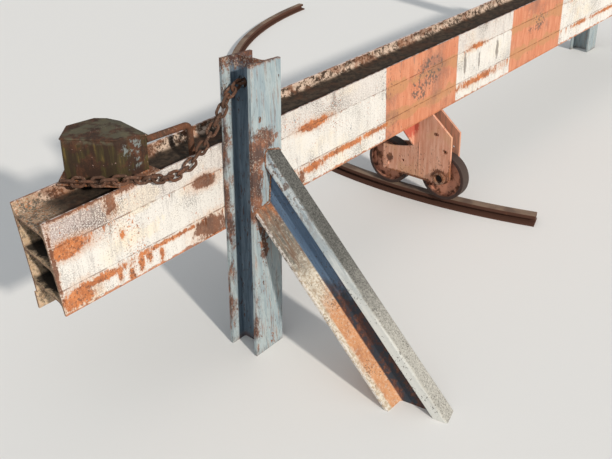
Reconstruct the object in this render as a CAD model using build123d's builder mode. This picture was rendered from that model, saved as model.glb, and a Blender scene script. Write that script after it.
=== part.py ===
from build123d import *
from math import cos, radians, sin, sqrt, tan
import os

# Swinging railway stop beam. A barrier of three stacked I-sections hangs on a pivot post at
# its far end, runs on a two-wheeled carriage over a curved rail, and rests with its free end
# against a stop post that an old rail props. Millimetres, X along the beam, Z up, the origin at the foot of
# the stop post.

# Stop post
post_width = 140.0
post_depth = 140.0
post_web = 8.0
post_flange = 13.0
post_root_radius = 10.0
post_height = 1098.0
post_lean = 4.0
chain_hole_radius = 21.0
chain_hole_drop = 88.0
chain_hole_inset = 24.0

# Raking strut, an old flat-bottomed rail with its head up
raker_height = 160.0
raker_head_width = 74.0
raker_head_height = 40.0
raker_head_slope = 7.0
raker_web = 15.0
raker_foot_width = 160.0
raker_foot_height = 11.0
raker_foot_slope = 15.0
raker_crown_radius = 9.0
raker_root_radius = 10.0
raker_slope = 47.2
raker_skew = 1.7
raker_roll = -10.2
raker_joint_height = 790.0
raker_joint_offset = 84.5

# Stop beam
beam_length = 4893.0
beam_near_end = -684.0
beam_clearance = 6.0
beam_underside = 481.0
beam_depth = 202.0
outer_flange_width = 90.0
middle_flange_width = 146.0
beam_web = 9.0
beam_flange_tip = 9.0
beam_flange_root = 14.0
beam_root_radius = 7.0
beam_end_skew = 6.2
beam_end_rake = 2.0
end_tab_drop = 62.0
end_tab_length = 80.0

# Pivot
pivot_inset = 109.0
pivot_setback = 112.0
pivot_post_gap = 80.0
pin_radius = 20.0
pin_head_radius = 32.0
pin_head_thickness = 12.0
pin_tail = 14.0
pin_clearance = 0.4
lug_thickness = 16.0
lug_root_width = 120.0
lug_eye_radius = 40.0
lower_strap_height = 560.0
upper_strap_height = 712.0
lug_gap = 0.5

# Carriage
wheel_plane_x = 1348.0
plate_spacing = 62.0
plate_thickness = 12.0
plate_foot = 130.0
plate_shoulder_drop = 92.0
plate_shoulder_reach = 105.0
plate_heel_height = 170.0
plate_heel_run = 77.0
plate_lobe_reach = 282.0
plate_lobe_height = 263.0
plate_neck_height = 297.0
plate_lobe_sag = 8.0
inspection_holes = [(-24, -94), (-74, -170), (162, -277)]
plate_neck_width = 109.0
plate_tab_inset = 24.0
plate_seat_inset = 4.0
inspection_hole_radius = 7.0
rib_thickness = 10.0
rib_reach = 150.0

# Wheels and axles
wheel_radius = 120.0
wheel_base = 316.0
axle_offset = 3.0
wheel_width = 54.0
wheel_rim = 17.0
wheel_web = 14.0
rim_taper = 4.0
hub_taper = 4.0
tread_chamfer = 2.5
hub_radius = 38.0
hub_length = 60.0
hub_clearance = 0.3
axle_radius = 17.0
axle_end = 6.0
axle_fit = 0.2
boss_radius = 31.0
boss_bore = 22.0
boss_reach = 16.0

# Curved rail
rail_height = 48.0
rail_head_width = 50.0
rail_head_height = 17.0
rail_head_slope = 4.0
rail_web = 14.0
rail_foot_width = 80.0
rail_foot_height = 9.0
rail_foot_slope = 5.0
rail_crown_radius = 4.0
rail_root_radius = 3.0
rail_contact_gap = 0.3
rail_start_angle = -17.0
rail_end_angle = 84.0

# Lock box, its corners in plan, and the grab handle beside it
box_x = -415.0
box_setback = 23.0
box_outline = [(0, 0), (113, 0), (113, 131), (65, 201), (-25, 219), (-96, 151)]
box_height = 134.0
box_wall = 5.0
box_lid = 6.0
box_lid_overhang = 3.0
box_base = 6.0
box_base_margin = 24.0
box_break = [(31, -1), (75, 108), (125, -1)]
box_break_drop = 22.0
handle_bar = 22.0
handle_bend = 20.0
handle_root_offset = 122.0
handle_root_height = 104.0
handle_height = 95.0
handle_reach = 178.0
handle_inset = 34.0

# Chain
wire_radius = 5.0
link_pitch = 34.4
link_inner_length = 35.0
link_inner_width = 18.0
chain_roll = 90.0
chain_fall = [
    (-29, -1, 0.985),
    (-59, -4, 0.93),
    (-86, -6, 0.837),
    (-110, -8, 0.704),
    (-135, -6, 0.547),
    (-169, 4, 0.32),
    (-206, 18, 0.08),
]
chain_climb = [
    (229, -42, -18),
    (169, -42, -27),
    (115, -42, -14),
    (69, -42, 4),
    (36, -41, 16),
    (5, -34, 25),
    (-25, -19, 30),
    (-52, 5, 30),
    (-74, 38, 27),
    (-92, 74, 23),
    (-110, 111, 20.5),
    (-128, 147, 18.5),
    (-154, 200, 18),
]
chain_twist = 45.0
chain_twist_links = 6
post_run_links = 17
box_run_links = 7
toggle_radius = 6.0
toggle_length = 76.0
toggle_gap = 0.4

# Worked-out places
beam_face_y = post_depth / 2 + beam_clearance
beam_centre_y = beam_face_y + beam_depth / 2
beam_back_y = beam_face_y + beam_depth
beam_height = 2 * outer_flange_width + middle_flange_width
beam_top = beam_underside + beam_height
pivot_x = beam_near_end + beam_length - pivot_inset
pivot_y = beam_back_y + pivot_setback
pivot_face_y = pivot_y + pivot_post_gap
axle_height = rail_height + rail_contact_gap + wheel_radius
near_axle_y = beam_centre_y + axle_offset - wheel_base / 2
far_axle_y = near_axle_y + wheel_base
rail_radius = sqrt((pivot_x - wheel_plane_x) ** 2 + (pivot_y - beam_centre_y - axle_offset) ** 2)
chain_hole_y = post_depth / 2 - post_flange - chain_hole_inset
chain_hole_height = post_height - chain_hole_drop
box_y = beam_face_y + box_setback
box_corners = [(box_x + x, box_y + y) for x, y in box_outline]
handle_root_x = box_x + handle_root_offset
handle_y = beam_face_y + handle_inset


class TaperedISection(BaseSketchObject):
    """Rolled I-section, depth along X and flange width along Y, its flanges thinner at the tips."""

    def __init__(self, depth, width, web, tip, root, radius, rotation=0.0, mode=Mode.ADD):
        half_depth = depth / 2
        half_width = width / 2
        half_web = web / 2
        quarter = [
            (half_depth, 0),
            (half_depth, half_width),
            (half_depth - tip, half_width),
            (half_depth - root, half_web),
            (0, half_web),
        ]
        with BuildSketch() as section:
            with BuildLine():
                Polyline(*quarter)
                mirror(about=Plane.YZ)
                mirror(about=Plane.XZ)
            make_face()
            roots = section.vertices().filter_by(lambda v: abs(abs(v.Y) - half_web) < half_web / 2)
            fillet(roots, radius)
        super().__init__(section.sketch, rotation, None, mode)


class RailSection(BaseSketchObject):
    """Flat-bottomed rail, its foot on the X axis and its head up along Y."""

    def __init__(self, height, head, web, foot, crown_radius, root_radius, mode=Mode.ADD):
        head_width, head_height, head_slope = head
        foot_width, foot_height, foot_slope = foot
        half_web = web / 2
        right_side = [
            (head_width / 2, height),
            (head_width / 2, height - head_height),
            (half_web, height - head_height - head_slope),
            (half_web, foot_height + foot_slope),
            (foot_width / 2, foot_height),
            (foot_width / 2, 0),
        ]
        left_side = [(-x, y) for x, y in reversed(right_side)]
        with BuildSketch() as section:
            with BuildLine():
                Polyline(*right_side, *left_side, close=True)
            make_face()
            fillet(section.vertices().group_by(Axis.Y)[-1], crown_radius)
            fillet(section.vertices().filter_by(lambda v: abs(v.X) < web), root_radius)
        super().__init__(section.sketch, 0, None, mode)


# Stop post, leaning as a whole, its foot cut level
lean = radians(post_lean)
post_plane = Plane(origin=(0, 0, 0), x_dir=(cos(lean), 0, -sin(lean)), z_dir=(sin(lean), 0, cos(lean)))
with BuildPart() as stop_post:
    with BuildSketch(post_plane.offset(-post_width)):
        TaperedISection(post_depth, post_width, post_web, post_flange, post_flange, post_root_radius, 90)
    extrude(amount=post_width + post_height)
    with BuildSketch(Plane.YZ):
        with Locations((chain_hole_y, chain_hole_height)):
            Circle(chain_hole_radius)
    extrude(amount=post_height, mode=Mode.SUBTRACT)
    split(bisect_by=Plane.XY, keep=Keep.TOP)
stop_post.part.label = "stop_post"

# Raking strut, mitred to the post's front flange and to the ground
slope = radians(raker_slope)
skew = radians(raker_skew)
raker_axis = Vector(sin(skew) * cos(slope), -cos(skew) * cos(slope), -sin(slope))
raker_side = Vector(cos(skew), sin(skew), 0).rotate(Axis((0, 0, 0), raker_axis), raker_roll)
raker_plane = Plane(
    origin=(raker_joint_offset, -post_depth / 2, raker_joint_height),
    x_dir=raker_side,
    z_dir=raker_axis,
)
raker_run = raker_joint_height / sin(slope)
with BuildPart() as raker:
    with BuildSketch(raker_plane.offset(-2 * raker_height)):
        with Locations((0, -raker_height)):
            RailSection(
                raker_height,
                (raker_head_width, raker_head_height, raker_head_slope),
                raker_web,
                (raker_foot_width, raker_foot_height, raker_foot_slope),
                raker_crown_radius,
                raker_root_radius,
            )
    extrude(amount=raker_run + 4 * raker_height)
    split(bisect_by=Plane(origin=(0, -post_depth / 2, 0), z_dir=(0, -1, 0)), keep=Keep.TOP)
    split(bisect_by=Plane.XY, keep=Keep.TOP)
raker.part.label = "raker"

# Stop beam of three I-sections, webs level, flange tips seam to seam, the free end cut askew
end_skew = tan(radians(beam_end_skew))
end_rake = tan(radians(beam_end_rake))
end_reach = beam_depth * end_skew + beam_height * end_rake / 2
end_plane = Plane(
    origin=(beam_near_end, beam_back_y, beam_underside + beam_height / 2),
    z_dir=(1, -end_skew, end_rake),
)
beam_parts = []
beam_rows = [
    ("beam_lower", beam_underside, outer_flange_width),
    ("beam_middle", beam_underside + outer_flange_width, middle_flange_width),
    ("beam_upper", beam_underside + outer_flange_width + middle_flange_width, outer_flange_width),
]
for row_name, row_foot, row_width in beam_rows:
    with BuildPart() as beam_row:
        with BuildSketch(Plane.YZ.offset(beam_near_end - end_reach)):
            with Locations((beam_centre_y, row_foot + row_width / 2)):
                TaperedISection(
                    beam_depth, row_width, beam_web, beam_flange_tip, beam_flange_root, beam_root_radius
                )
        extrude(amount=beam_length + end_reach)
        split(bisect_by=end_plane, keep=Keep.TOP)
    beam_row.part.label = row_name
    beam_parts.append(beam_row.part)

# Tab under the back flange at the free end
with BuildPart() as beam_end_tab:
    with BuildSketch(Plane.XY.offset(beam_underside - end_tab_drop)):
        with Locations((beam_near_end, beam_back_y)):
            Rectangle(end_tab_length, beam_flange_tip, align=(Align.MIN, Align.MAX))
    extrude(amount=end_tab_drop)
beam_end_tab.part.label = "beam_end_tab"

# Pivot post behind the far end
with BuildPart() as pivot_post:
    with BuildSketch(Plane.XY):
        with Locations((pivot_x, pivot_face_y + post_depth / 2)):
            TaperedISection(post_depth, post_width, post_web, post_flange, post_flange, post_root_radius, 90)
    extrude(amount=post_height)
pivot_post.part.label = "pivot_post"

# Hinge straps on the beam, each turning on a lug of the pivot post
hinge_parts = []
for level, strap_height in (("lower", lower_strap_height), ("upper", upper_strap_height)):
    hinge_rows = [
        ("hinge_strap_" + level, strap_height, beam_back_y, Align.MIN),
        ("pivot_lug_" + level, strap_height - lug_gap - lug_thickness, pivot_face_y, Align.MAX),
    ]
    for plate_name, plate_height, root_y, side in hinge_rows:
        with BuildPart() as hinge_plate:
            with BuildSketch(Plane.XY.offset(plate_height)):
                with Locations((pivot_x, pivot_y)):
                    Circle(lug_eye_radius)
                with Locations((pivot_x, root_y)):
                    Rectangle(lug_root_width, lug_thickness, align=(Align.CENTER, side))
                make_hull()
                with Locations((pivot_x, pivot_y)):
                    Circle(pin_radius + pin_clearance, mode=Mode.SUBTRACT)
            extrude(amount=lug_thickness)
        hinge_plate.part.label = plate_name
        hinge_parts.append(hinge_plate.part)

# Pivot pin, its head over the upper strap
pin_foot = lower_strap_height - lug_gap - lug_thickness - pin_tail
pin_shoulder = upper_strap_height + lug_thickness + lug_gap
with BuildPart() as pivot_pin:
    with BuildSketch(Plane.XY.offset(pin_foot)):
        with Locations((pivot_x, pivot_y)):
            Circle(pin_radius)
    extrude(amount=pin_shoulder - pin_foot)
    with BuildSketch(Plane.XY.offset(pin_shoulder)):
        with Locations((pivot_x, pivot_y)):
            Circle(pin_head_radius)
    extrude(amount=pin_head_thickness)
    chamfer(pivot_pin.edges().group_by(Axis.Z)[-1], pin_head_thickness / 4)
    chamfer(pivot_pin.edges().group_by(Axis.Z)[0], pin_radius / 5)
pivot_pin.part.label = "pivot_pin"

# Carriage plates under the beam
plate_axle_points = [(near_axle_y, axle_height), (far_axle_y, axle_height)]
plate_front = wheel_plane_x - plate_spacing / 2 - plate_thickness
plate_back = wheel_plane_x + plate_spacing / 2
plate_heel_y = beam_face_y - plate_shoulder_reach
plate_toe_y = beam_face_y + plate_lobe_reach
neck_y = beam_face_y + plate_neck_width
seat_y = beam_face_y + plate_seat_inset
tab_y = beam_face_y + plate_tab_inset
web_underside = beam_underside + (outer_flange_width - beam_web) / 2
carriage_parts = []
for plate_name, plate_x in (("carriage_front_plate", plate_front), ("carriage_back_plate", plate_back)):
    with BuildPart() as carriage_plate:
        with BuildSketch(Plane.YZ.offset(plate_x)):
            with BuildLine():
                Polyline(
                    (neck_y, plate_neck_height),
                    (neck_y, web_underside),
                    (tab_y, web_underside),
                    (tab_y, beam_underside),
                    (seat_y, beam_underside),
                    (plate_heel_y, beam_underside - plate_shoulder_drop),
                    (plate_heel_y, plate_heel_height),
                    (plate_heel_y + plate_heel_run, plate_foot),
                    (plate_toe_y, plate_foot),
                    (plate_toe_y, plate_lobe_height),
                )
                SagittaArc((plate_toe_y, plate_lobe_height), (neck_y, plate_neck_height), plate_lobe_sag)
            make_face()
            with Locations(*plate_axle_points):
                Circle(axle_radius + axle_fit, mode=Mode.SUBTRACT)
            with Locations(*[(beam_face_y + y, beam_underside + z) for y, z in inspection_holes]):
                Circle(inspection_hole_radius, mode=Mode.SUBTRACT)
        extrude(amount=plate_thickness)
    carriage_plate.part.label = plate_name
    carriage_parts.append(carriage_plate.part)

# Gusset ribs between the beam and the plates' outer faces
rib_rows = [
    ("carriage_front_rib", plate_front, -1),
    ("carriage_back_rib", plate_back + plate_thickness, 1),
]
for rib_name, rib_x, rib_side in rib_rows:
    with BuildPart() as carriage_rib:
        with BuildSketch(Plane.XZ.offset(-neck_y)):
            Polygon(
                (rib_x, plate_neck_height),
                (rib_x, web_underside),
                (rib_x + rib_side * rib_reach, web_underside),
                (rib_x + rib_side * rib_reach, beam_underside),
                align=None,
            )
        extrude(amount=rib_thickness)
    carriage_rib.part.label = rib_name
    carriage_parts.append(carriage_rib.part)

# Axles through both plates, and the wheels that turn on them
wheel_parts = []
rim_inner = wheel_radius - wheel_rim
wheel_profile = [
    (0, axle_radius + hub_clearance),
    (hub_length / 2, axle_radius + hub_clearance),
    (hub_length / 2, hub_radius),
    (wheel_web / 2, hub_radius + hub_taper),
    (wheel_web / 2, rim_inner - rim_taper),
    (wheel_width / 2, rim_inner),
    (wheel_width / 2, wheel_radius - tread_chamfer),
    (wheel_width / 2 - tread_chamfer, wheel_radius),
    (0, wheel_radius),
]
for side_name, axle_y in (("near", near_axle_y), ("far", far_axle_y)):
    wheel_centre = Plane(origin=(wheel_plane_x, axle_y, axle_height), x_dir=(1, 0, 0), z_dir=(0, -1, 0))
    axle_axis = Axis((wheel_plane_x, axle_y, axle_height), (1, 0, 0))
    with BuildPart() as axle:
        with BuildSketch(Plane.YZ.offset(plate_front - axle_end)):
            with Locations((axle_y, axle_height)):
                Circle(axle_radius)
        extrude(amount=plate_spacing + 2 * plate_thickness + 2 * axle_end)
        chamfer(axle.edges().filter_by(GeomType.CIRCLE), axle_end / 3)
    axle.part.label = "axle_" + side_name
    carriage_parts.append(axle.part)
    with BuildPart() as wheel:
        with BuildSketch(wheel_centre):
            with BuildLine():
                Polyline(*wheel_profile)
                mirror(about=Plane.YZ)
            make_face()
        revolve(axis=axle_axis)
    wheel.part.label = "wheel_" + side_name
    wheel_parts.append(wheel.part)

# Boss round the near axle's end
with BuildPart() as axle_boss:
    with BuildSketch(Plane.YZ.offset(plate_front - boss_reach)):
        with Locations((near_axle_y, axle_height)):
            Circle(boss_radius)
            Circle(boss_bore, mode=Mode.SUBTRACT)
    extrude(amount=boss_reach)
axle_boss.part.label = "axle_boss"

# Curved rail, one arc about the pivot
rail_turn = radians(rail_start_angle)
rail_plane = Plane(
    origin=(pivot_x - rail_radius * cos(rail_turn), pivot_y + rail_radius * sin(rail_turn), 0),
    x_dir=(-cos(rail_turn), sin(rail_turn), 0),
    z_dir=(sin(rail_turn), cos(rail_turn), 0),
)
with BuildPart() as curved_rail:
    with BuildSketch(rail_plane):
        RailSection(
            rail_height,
            (rail_head_width, rail_head_height, rail_head_slope),
            rail_web,
            (rail_foot_width, rail_foot_height, rail_foot_slope),
            rail_crown_radius,
            rail_root_radius,
        )
    revolve(
        axis=Axis((pivot_x, pivot_y, 0), (0, 0, -1)),
        revolution_arc=rail_end_angle - rail_start_angle,
    )
curved_rail.part.label = "curved_rail"

# Lock box over the beam's free end: a base plate, a leaning hood and its lid
box_foot = beam_top + box_base
box_shift = box_height * tan(lean)
with BuildPart() as box_base_plate:
    with BuildSketch(Plane.XY.offset(beam_top)):
        Polygon(*box_corners, align=None)
        offset(amount=box_base_margin, kind=Kind.INTERSECTION)
    extrude(amount=box_base)
box_base_plate.part.label = "lock_box_base"

box_corner = Vector(box_x, box_y, box_foot + box_height)
break_start = box_corner + Vector(*box_break[0])
break_end = box_corner + Vector(*box_break[1])
break_low = box_corner + Vector(*box_break[2], -box_break_drop)
slope_normal = (break_low - break_start).cross(break_end - break_start).normalized()
slope_plane = Plane(origin=break_start, z_dir=slope_normal)
with BuildPart() as lock_box:
    with BuildSketch(Plane.XY.offset(box_foot)):
        Polygon(*box_corners, align=None)
    with BuildSketch(Plane((box_shift, 0, box_foot + box_height))):
        Polygon(*box_corners, align=None)
    loft(ruled=True)
    split(bisect_by=slope_plane, keep=Keep.BOTTOM)
    offset(amount=-box_wall, openings=lock_box.faces().sort_by(Axis.Z)[0], kind=Kind.INTERSECTION)
lock_box.part.label = "lock_box"

with BuildPart() as lock_box_lid:
    with BuildSketch(Plane((box_shift, 0, box_foot + box_height - box_break_drop - box_lid))):
        Polygon(*box_corners, align=None)
        offset(amount=box_lid_overhang, kind=Kind.INTERSECTION)
    extrude(amount=box_break_drop + 2 * box_lid)
    split(bisect_by=slope_plane.offset(box_lid), keep=Keep.BOTTOM)
    with BuildSketch(Plane((box_shift, 0, box_foot + box_height - 2 * box_break_drop))) as lid_void:
        Polygon(*box_corners, align=None)
        offset(amount=2 * box_lid_overhang, kind=Kind.INTERSECTION)
    lid_block = extrude(to_extrude=lid_void.sketch, amount=2 * box_break_drop, mode=Mode.PRIVATE)
    add(split(lid_block, bisect_by=slope_plane, keep=Keep.BOTTOM, mode=Mode.PRIVATE), mode=Mode.SUBTRACT)
lock_box_lid.part.label = "lock_box_lid"

# Grab handle, one bent bar from the box down to the beam
handle_start = (handle_root_x, handle_y, beam_top + handle_root_height)
handle_corner = (handle_root_x + handle_reach, handle_y, beam_top + handle_height)
handle_foot = (handle_root_x + handle_reach, handle_y, beam_top - (outer_flange_width - beam_web) / 2)
with BuildPart() as grab_handle:
    with BuildLine() as handle_path:
        FilletPolyline(handle_start, handle_corner, handle_foot, radius=handle_bend)
    with BuildSketch(Plane(origin=handle_path.line @ 0, z_dir=handle_path.line % 0)):
        Circle(handle_bar / 2)
    sweep()
grab_handle.part.label = "grab_handle"

# One chain link, long axis along X
link_end_radius = link_inner_width / 2 + wire_radius
link_straight = link_inner_length / 2 - link_inner_width / 2
with BuildPart() as link:
    with BuildLine() as link_path:
        top_run = Line((-link_straight, link_end_radius), (link_straight, link_end_radius))
        right_bend = JernArc(top_run @ 1, top_run % 1, link_end_radius, -180)
        low_run = Line(right_bend @ 1, (-link_straight, -link_end_radius))
        left_bend = JernArc(low_run @ 1, low_run % 1, link_end_radius, -180)
    with BuildSketch(Plane(origin=link_path.line @ 0, z_dir=link_path.line % 0)):
        Circle(wire_radius)
    sweep()


# Route of the chain, down from the hole in the post's web and up round the lock box
web_normal = Vector(cos(lean), 0, -sin(lean))
hole_x = chain_hole_height * tan(lean)
hole_drop = chain_hole_height - beam_top
toggle_offset = post_web / 2 + toggle_radius + toggle_gap
toggle_place = Vector(hole_x, chain_hole_y, chain_hole_height) + web_normal * toggle_offset
route_start = toggle_place - web_normal * (link_inner_length / 2 - toggle_radius - toggle_gap)
fall_points = [(hole_x + x, chain_hole_y + y, beam_top + share * hole_drop) for x, y, share in chain_fall]
climb_points = [(box_x + x, box_y + y, beam_top + z) for x, y, z in chain_climb]
route = Spline(route_start, *fall_points, *climb_points)

# Places of the links along the route, each rolled a quarter turn from the last and closer at a bend
link_places = []
distance = 0.0
for index in range(post_run_links + box_run_links):
    along = route.tangent_at(distance, position_mode=PositionMode.LENGTH)
    ahead = route.tangent_at(distance + link_pitch, position_mode=PositionMode.LENGTH)
    side = (Vector(0, 1, 0) - along * along.Y).normalized()
    twist = chain_twist * min(index / chain_twist_links, 1)
    facing = side.rotate(Axis((0, 0, 0), along), chain_roll - twist - 90 * (index % 2))
    centre = route.position_at(distance, PositionMode.LENGTH)
    link_places.append(Plane(origin=centre, x_dir=along, z_dir=facing))
    distance += link_pitch - (link_inner_length / 2 + wire_radius) * (1 - along.dot(ahead))

# Chain, its post run hung from the post's web and its box run round the lock box
chain_parts = []
chain_rows = [
    ("chain_post_run", link_places[:post_run_links]),
    ("chain_box_run", link_places[post_run_links:]),
]
for run_name, run_places in chain_rows:
    with BuildPart() as chain_run:
        with Locations(*run_places):
            add(link.part)
    chain_run.part.label = run_name
    chain_parts.append(chain_run.part)

# Toggle bar through the chain's first link, across the hole in the post's web
toggle_plane = Plane(origin=toggle_place, x_dir=web_normal, z_dir=post_plane.z_dir)
with BuildPart() as chain_toggle:
    with BuildSketch(toggle_plane.offset(-toggle_length / 2)):
        Circle(toggle_radius)
    extrude(amount=toggle_length)
chain_toggle.part.label = "chain_toggle"

os.makedirs("parts", exist_ok=True)
single_parts = [
    stop_post.part,
    raker.part,
    pivot_post.part,
    pivot_pin.part,
    curved_rail.part,
    box_base_plate.part,
    lock_box.part,
    lock_box_lid.part,
    grab_handle.part,
    chain_toggle.part,
    beam_end_tab.part,
    axle_boss.part,
]
for piece in single_parts + beam_parts + hinge_parts + carriage_parts + wheel_parts + chain_parts:
    export_step(piece, "parts/" + piece.label + ".step")
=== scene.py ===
"""Swinging railway stop beam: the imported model, softened, welded, painted and rusted."""

import logging
import math
from dataclasses import dataclass, field
from enum import Enum
from functools import reduce
from itertools import product
from operator import or_
from typing import Callable, Iterable, Sequence

import bmesh
import bpy
from mathutils import Matrix, Vector, noise


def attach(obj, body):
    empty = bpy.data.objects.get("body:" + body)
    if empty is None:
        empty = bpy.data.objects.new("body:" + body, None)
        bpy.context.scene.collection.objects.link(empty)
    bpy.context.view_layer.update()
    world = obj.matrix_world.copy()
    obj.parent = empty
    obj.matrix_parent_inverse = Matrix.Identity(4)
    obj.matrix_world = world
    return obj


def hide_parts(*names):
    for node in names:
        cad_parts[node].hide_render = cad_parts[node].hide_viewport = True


log = logging.getLogger("stop_beam")

Colour = tuple[float, float, float]
Point = tuple[float, float, float]
Section = tuple[tuple[float, float], ...]

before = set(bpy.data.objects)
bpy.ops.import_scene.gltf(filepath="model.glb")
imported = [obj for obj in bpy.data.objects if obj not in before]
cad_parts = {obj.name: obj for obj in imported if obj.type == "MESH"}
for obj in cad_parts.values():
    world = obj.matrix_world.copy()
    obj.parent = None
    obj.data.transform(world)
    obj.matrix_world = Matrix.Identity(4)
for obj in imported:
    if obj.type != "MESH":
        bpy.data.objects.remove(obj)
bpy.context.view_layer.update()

BEAM_FACE_Y = 0.076
BEAM_BACK_Y = 0.278
BEAM_FOOT_Z = 0.481
LOWER_SEAM_Z = 0.571
UPPER_SEAM_Z = 0.717
BEAM_TOP_Z = 0.807
THROUGH = 9.0
RELIEF_DEPTH = 0.0012
RELIEF_STRENGTH = 0.85
SHEEN = 0.25
HARD_EDGE = math.radians(28.0)
FLAT_EDGE = math.radians(1.0)
SAME_PLACE = 0.00002
DENTS_PER_METRE = 6.0
DENT_SHIFTS = (Vector((0.0, 0.0, 0.0)), Vector((9.0, 0.0, 0.0)), Vector((0.0, 7.0, 0.0)))
CUTS = (15, 7, 3, 1)


class Body(Enum):
    """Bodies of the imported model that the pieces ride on."""

    ROOT = "root"
    BEAM = "beam"


class Slot(Enum):
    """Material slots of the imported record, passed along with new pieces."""

    POST = "post_paint"
    RAKER = "raker_paint"
    BARRIER = "barrier_paint"
    CARRIAGE = "carriage_paint"
    BOX = "box_paint"
    RUST = "rusted_steel"


# Shader wiring


def add_node(tree: bpy.types.NodeTree, kind: str, feeds: dict, **settings: object) -> bpy.types.Node:
    """Adds one shader node.

    Args:
        tree: The tree of a material or of a group.
        kind: The node's type name.
        feeds: Values or wires for its inputs, by name or number.
        settings: Attributes of the node.

    Returns:
        The new node.
    """
    node = tree.nodes.new(kind)
    for name, value in settings.items():
        setattr(node, name, value)
    for key, value in feeds.items():
        socket = node.inputs[key]
        if isinstance(value, Wire):
            tree.links.new(value.socket, socket)
        elif socket.type == "RGBA":
            socket.default_value = (*value, 1.0)
        else:
            socket.default_value = value
    return node


@dataclass(frozen=True)
class RustTone:
    """One tone of rust.

    Attributes:
        heat: 0 for black scale, 1 for fresh orange bloom.
        dark: Colour of the scale.
        middle: Colour of old rust.
        bright: Colour of the bloom.
    """

    heat: float
    dark: Colour = (0.075, 0.032, 0.020)
    middle: Colour = (0.23, 0.085, 0.038)
    bright: Colour = (0.50, 0.185, 0.062)


@dataclass(frozen=True)
class Wire:
    """A shader socket to reckon with: + - * / are sums, | is the larger and & the smaller value.

    Attributes:
        tree: The node tree that the socket is in.
        socket: The socket.
    """

    tree: bpy.types.NodeTree
    socket: bpy.types.NodeSocket

    def node(self, kind: str, feeds: dict, output: int | str = 0, **settings: object) -> "Wire":
        """The output of one more node in the same tree."""
        return Wire(self.tree, add_node(self.tree, kind, feeds, **settings).outputs[output])

    def math(self, operation: str, first: object, second: object = 0.0) -> "Wire":
        """The result of one math node."""
        return self.node("ShaderNodeMath", {0: first, 1: second}, operation=operation)

    def vector(self, operation: str, other: object = (0.0, 0.0, 0.0), output: str = "Vector") -> "Wire":
        """The result of one vector math node."""
        return self.node("ShaderNodeVectorMath", {0: self, 1: other}, output, operation=operation)

    def __add__(self, other: object) -> "Wire":
        """The sum."""
        return self.math("ADD", self, other)

    def __radd__(self, other: float) -> "Wire":
        """The sum, for a number in front."""
        return self.math("ADD", other, self)

    def __sub__(self, other: object) -> "Wire":
        """The difference."""
        return self.math("SUBTRACT", self, other)

    def __rsub__(self, other: float) -> "Wire":
        """The difference, for a number in front."""
        return self.math("SUBTRACT", other, self)

    def __mul__(self, other: object) -> "Wire":
        """The product."""
        return self.math("MULTIPLY", self, other)

    def __truediv__(self, other: object) -> "Wire":
        """The quotient."""
        return self.math("DIVIDE", self, other)

    def __or__(self, other: object) -> "Wire":
        """The larger value, which joins masks."""
        return self.math("MAXIMUM", self, other)

    def __and__(self, other: object) -> "Wire":
        """The smaller value."""
        return self.math("MINIMUM", self, other)

    def __abs__(self) -> "Wire":
        """The absolute value."""
        return self.math("ABSOLUTE", self)

    def axis(self, name: str) -> "Wire":
        """The X, Y or Z of a vector."""
        return self.node("ShaderNodeSeparateXYZ", {0: self}, name)

    def upright(self, share: float) -> "Wire":
        """The place with its height scaled, so that noise on it is drawn out upright."""
        return self.vector("MULTIPLY", (1.0, 1.0, share))

    def step(self, low: float, high: float) -> "Wire":
        """A smooth step from 0 at low to 1 at high, which may run downwards.

        Args:
            low: Where the result is 0.
            high: Where the result is 1.

        Returns:
            The mask.
        """
        feeds = {"Value": self, "From Min": low, "From Max": high}
        if high < low:
            feeds.update({"From Min": high, "From Max": low, "To Min": 1.0, "To Max": 0.0})
        return self.node("ShaderNodeMapRange", feeds, interpolation_type="SMOOTHSTEP")

    def noise(self, scale: object, detail: float = 3.0, rough: float = 0.55) -> "Wire":
        """Noise from 0 to 1 at a place."""
        feeds = {"Vector": self, "Scale": scale, "Detail": detail, "Roughness": rough}
        return self.node("ShaderNodeTexNoise", feeds, "Fac")

    def mix(self, first: object, second: object) -> "Wire":
        """The first colour where the mask is 0, the second where it is 1."""
        return self.node("ShaderNodeMix", {0: self, 6: first, 7: second}, 2, data_type="RGBA")

    def group(self, name: str, output: str = "Mask", **feeds: object) -> "Wire":
        """A shared effect at a place, with its own values."""
        named = {"Position": self, **{key.capitalize(): value for key, value in feeds.items()}}
        return self.node("ShaderNodeGroup", named, output, node_tree=bpy.data.node_groups[name])

    def flecks(self, scale: float, cover: float, clumps: float) -> "Wire":
        """The mask of small chips at a place."""
        return self.group("flecks", scale=scale, cover=cover, clumps=clumps)

    def band(self, height: "Wire", level: float, reach: float, ragged: float, grain: float) -> "Wire":
        """The mask of a ragged band about one level."""
        return self.group("band", height=height, level=level, reach=reach, ragged=ragged, grain=grain)

    def drips(self, level: float, length: float, cover: float, grain: float) -> "Wire":
        """The mask of upright runs that hang below one level."""
        return self.group("drips", level=level, length=length, cover=cover, grain=grain)

    def rust(self, tone: RustTone) -> "Wire":
        """The colour of rust at a place."""
        return self.group(
            "rust", "Color", heat=tone.heat, dark=tone.dark, middle=tone.middle, bright=tone.bright
        )


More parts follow.
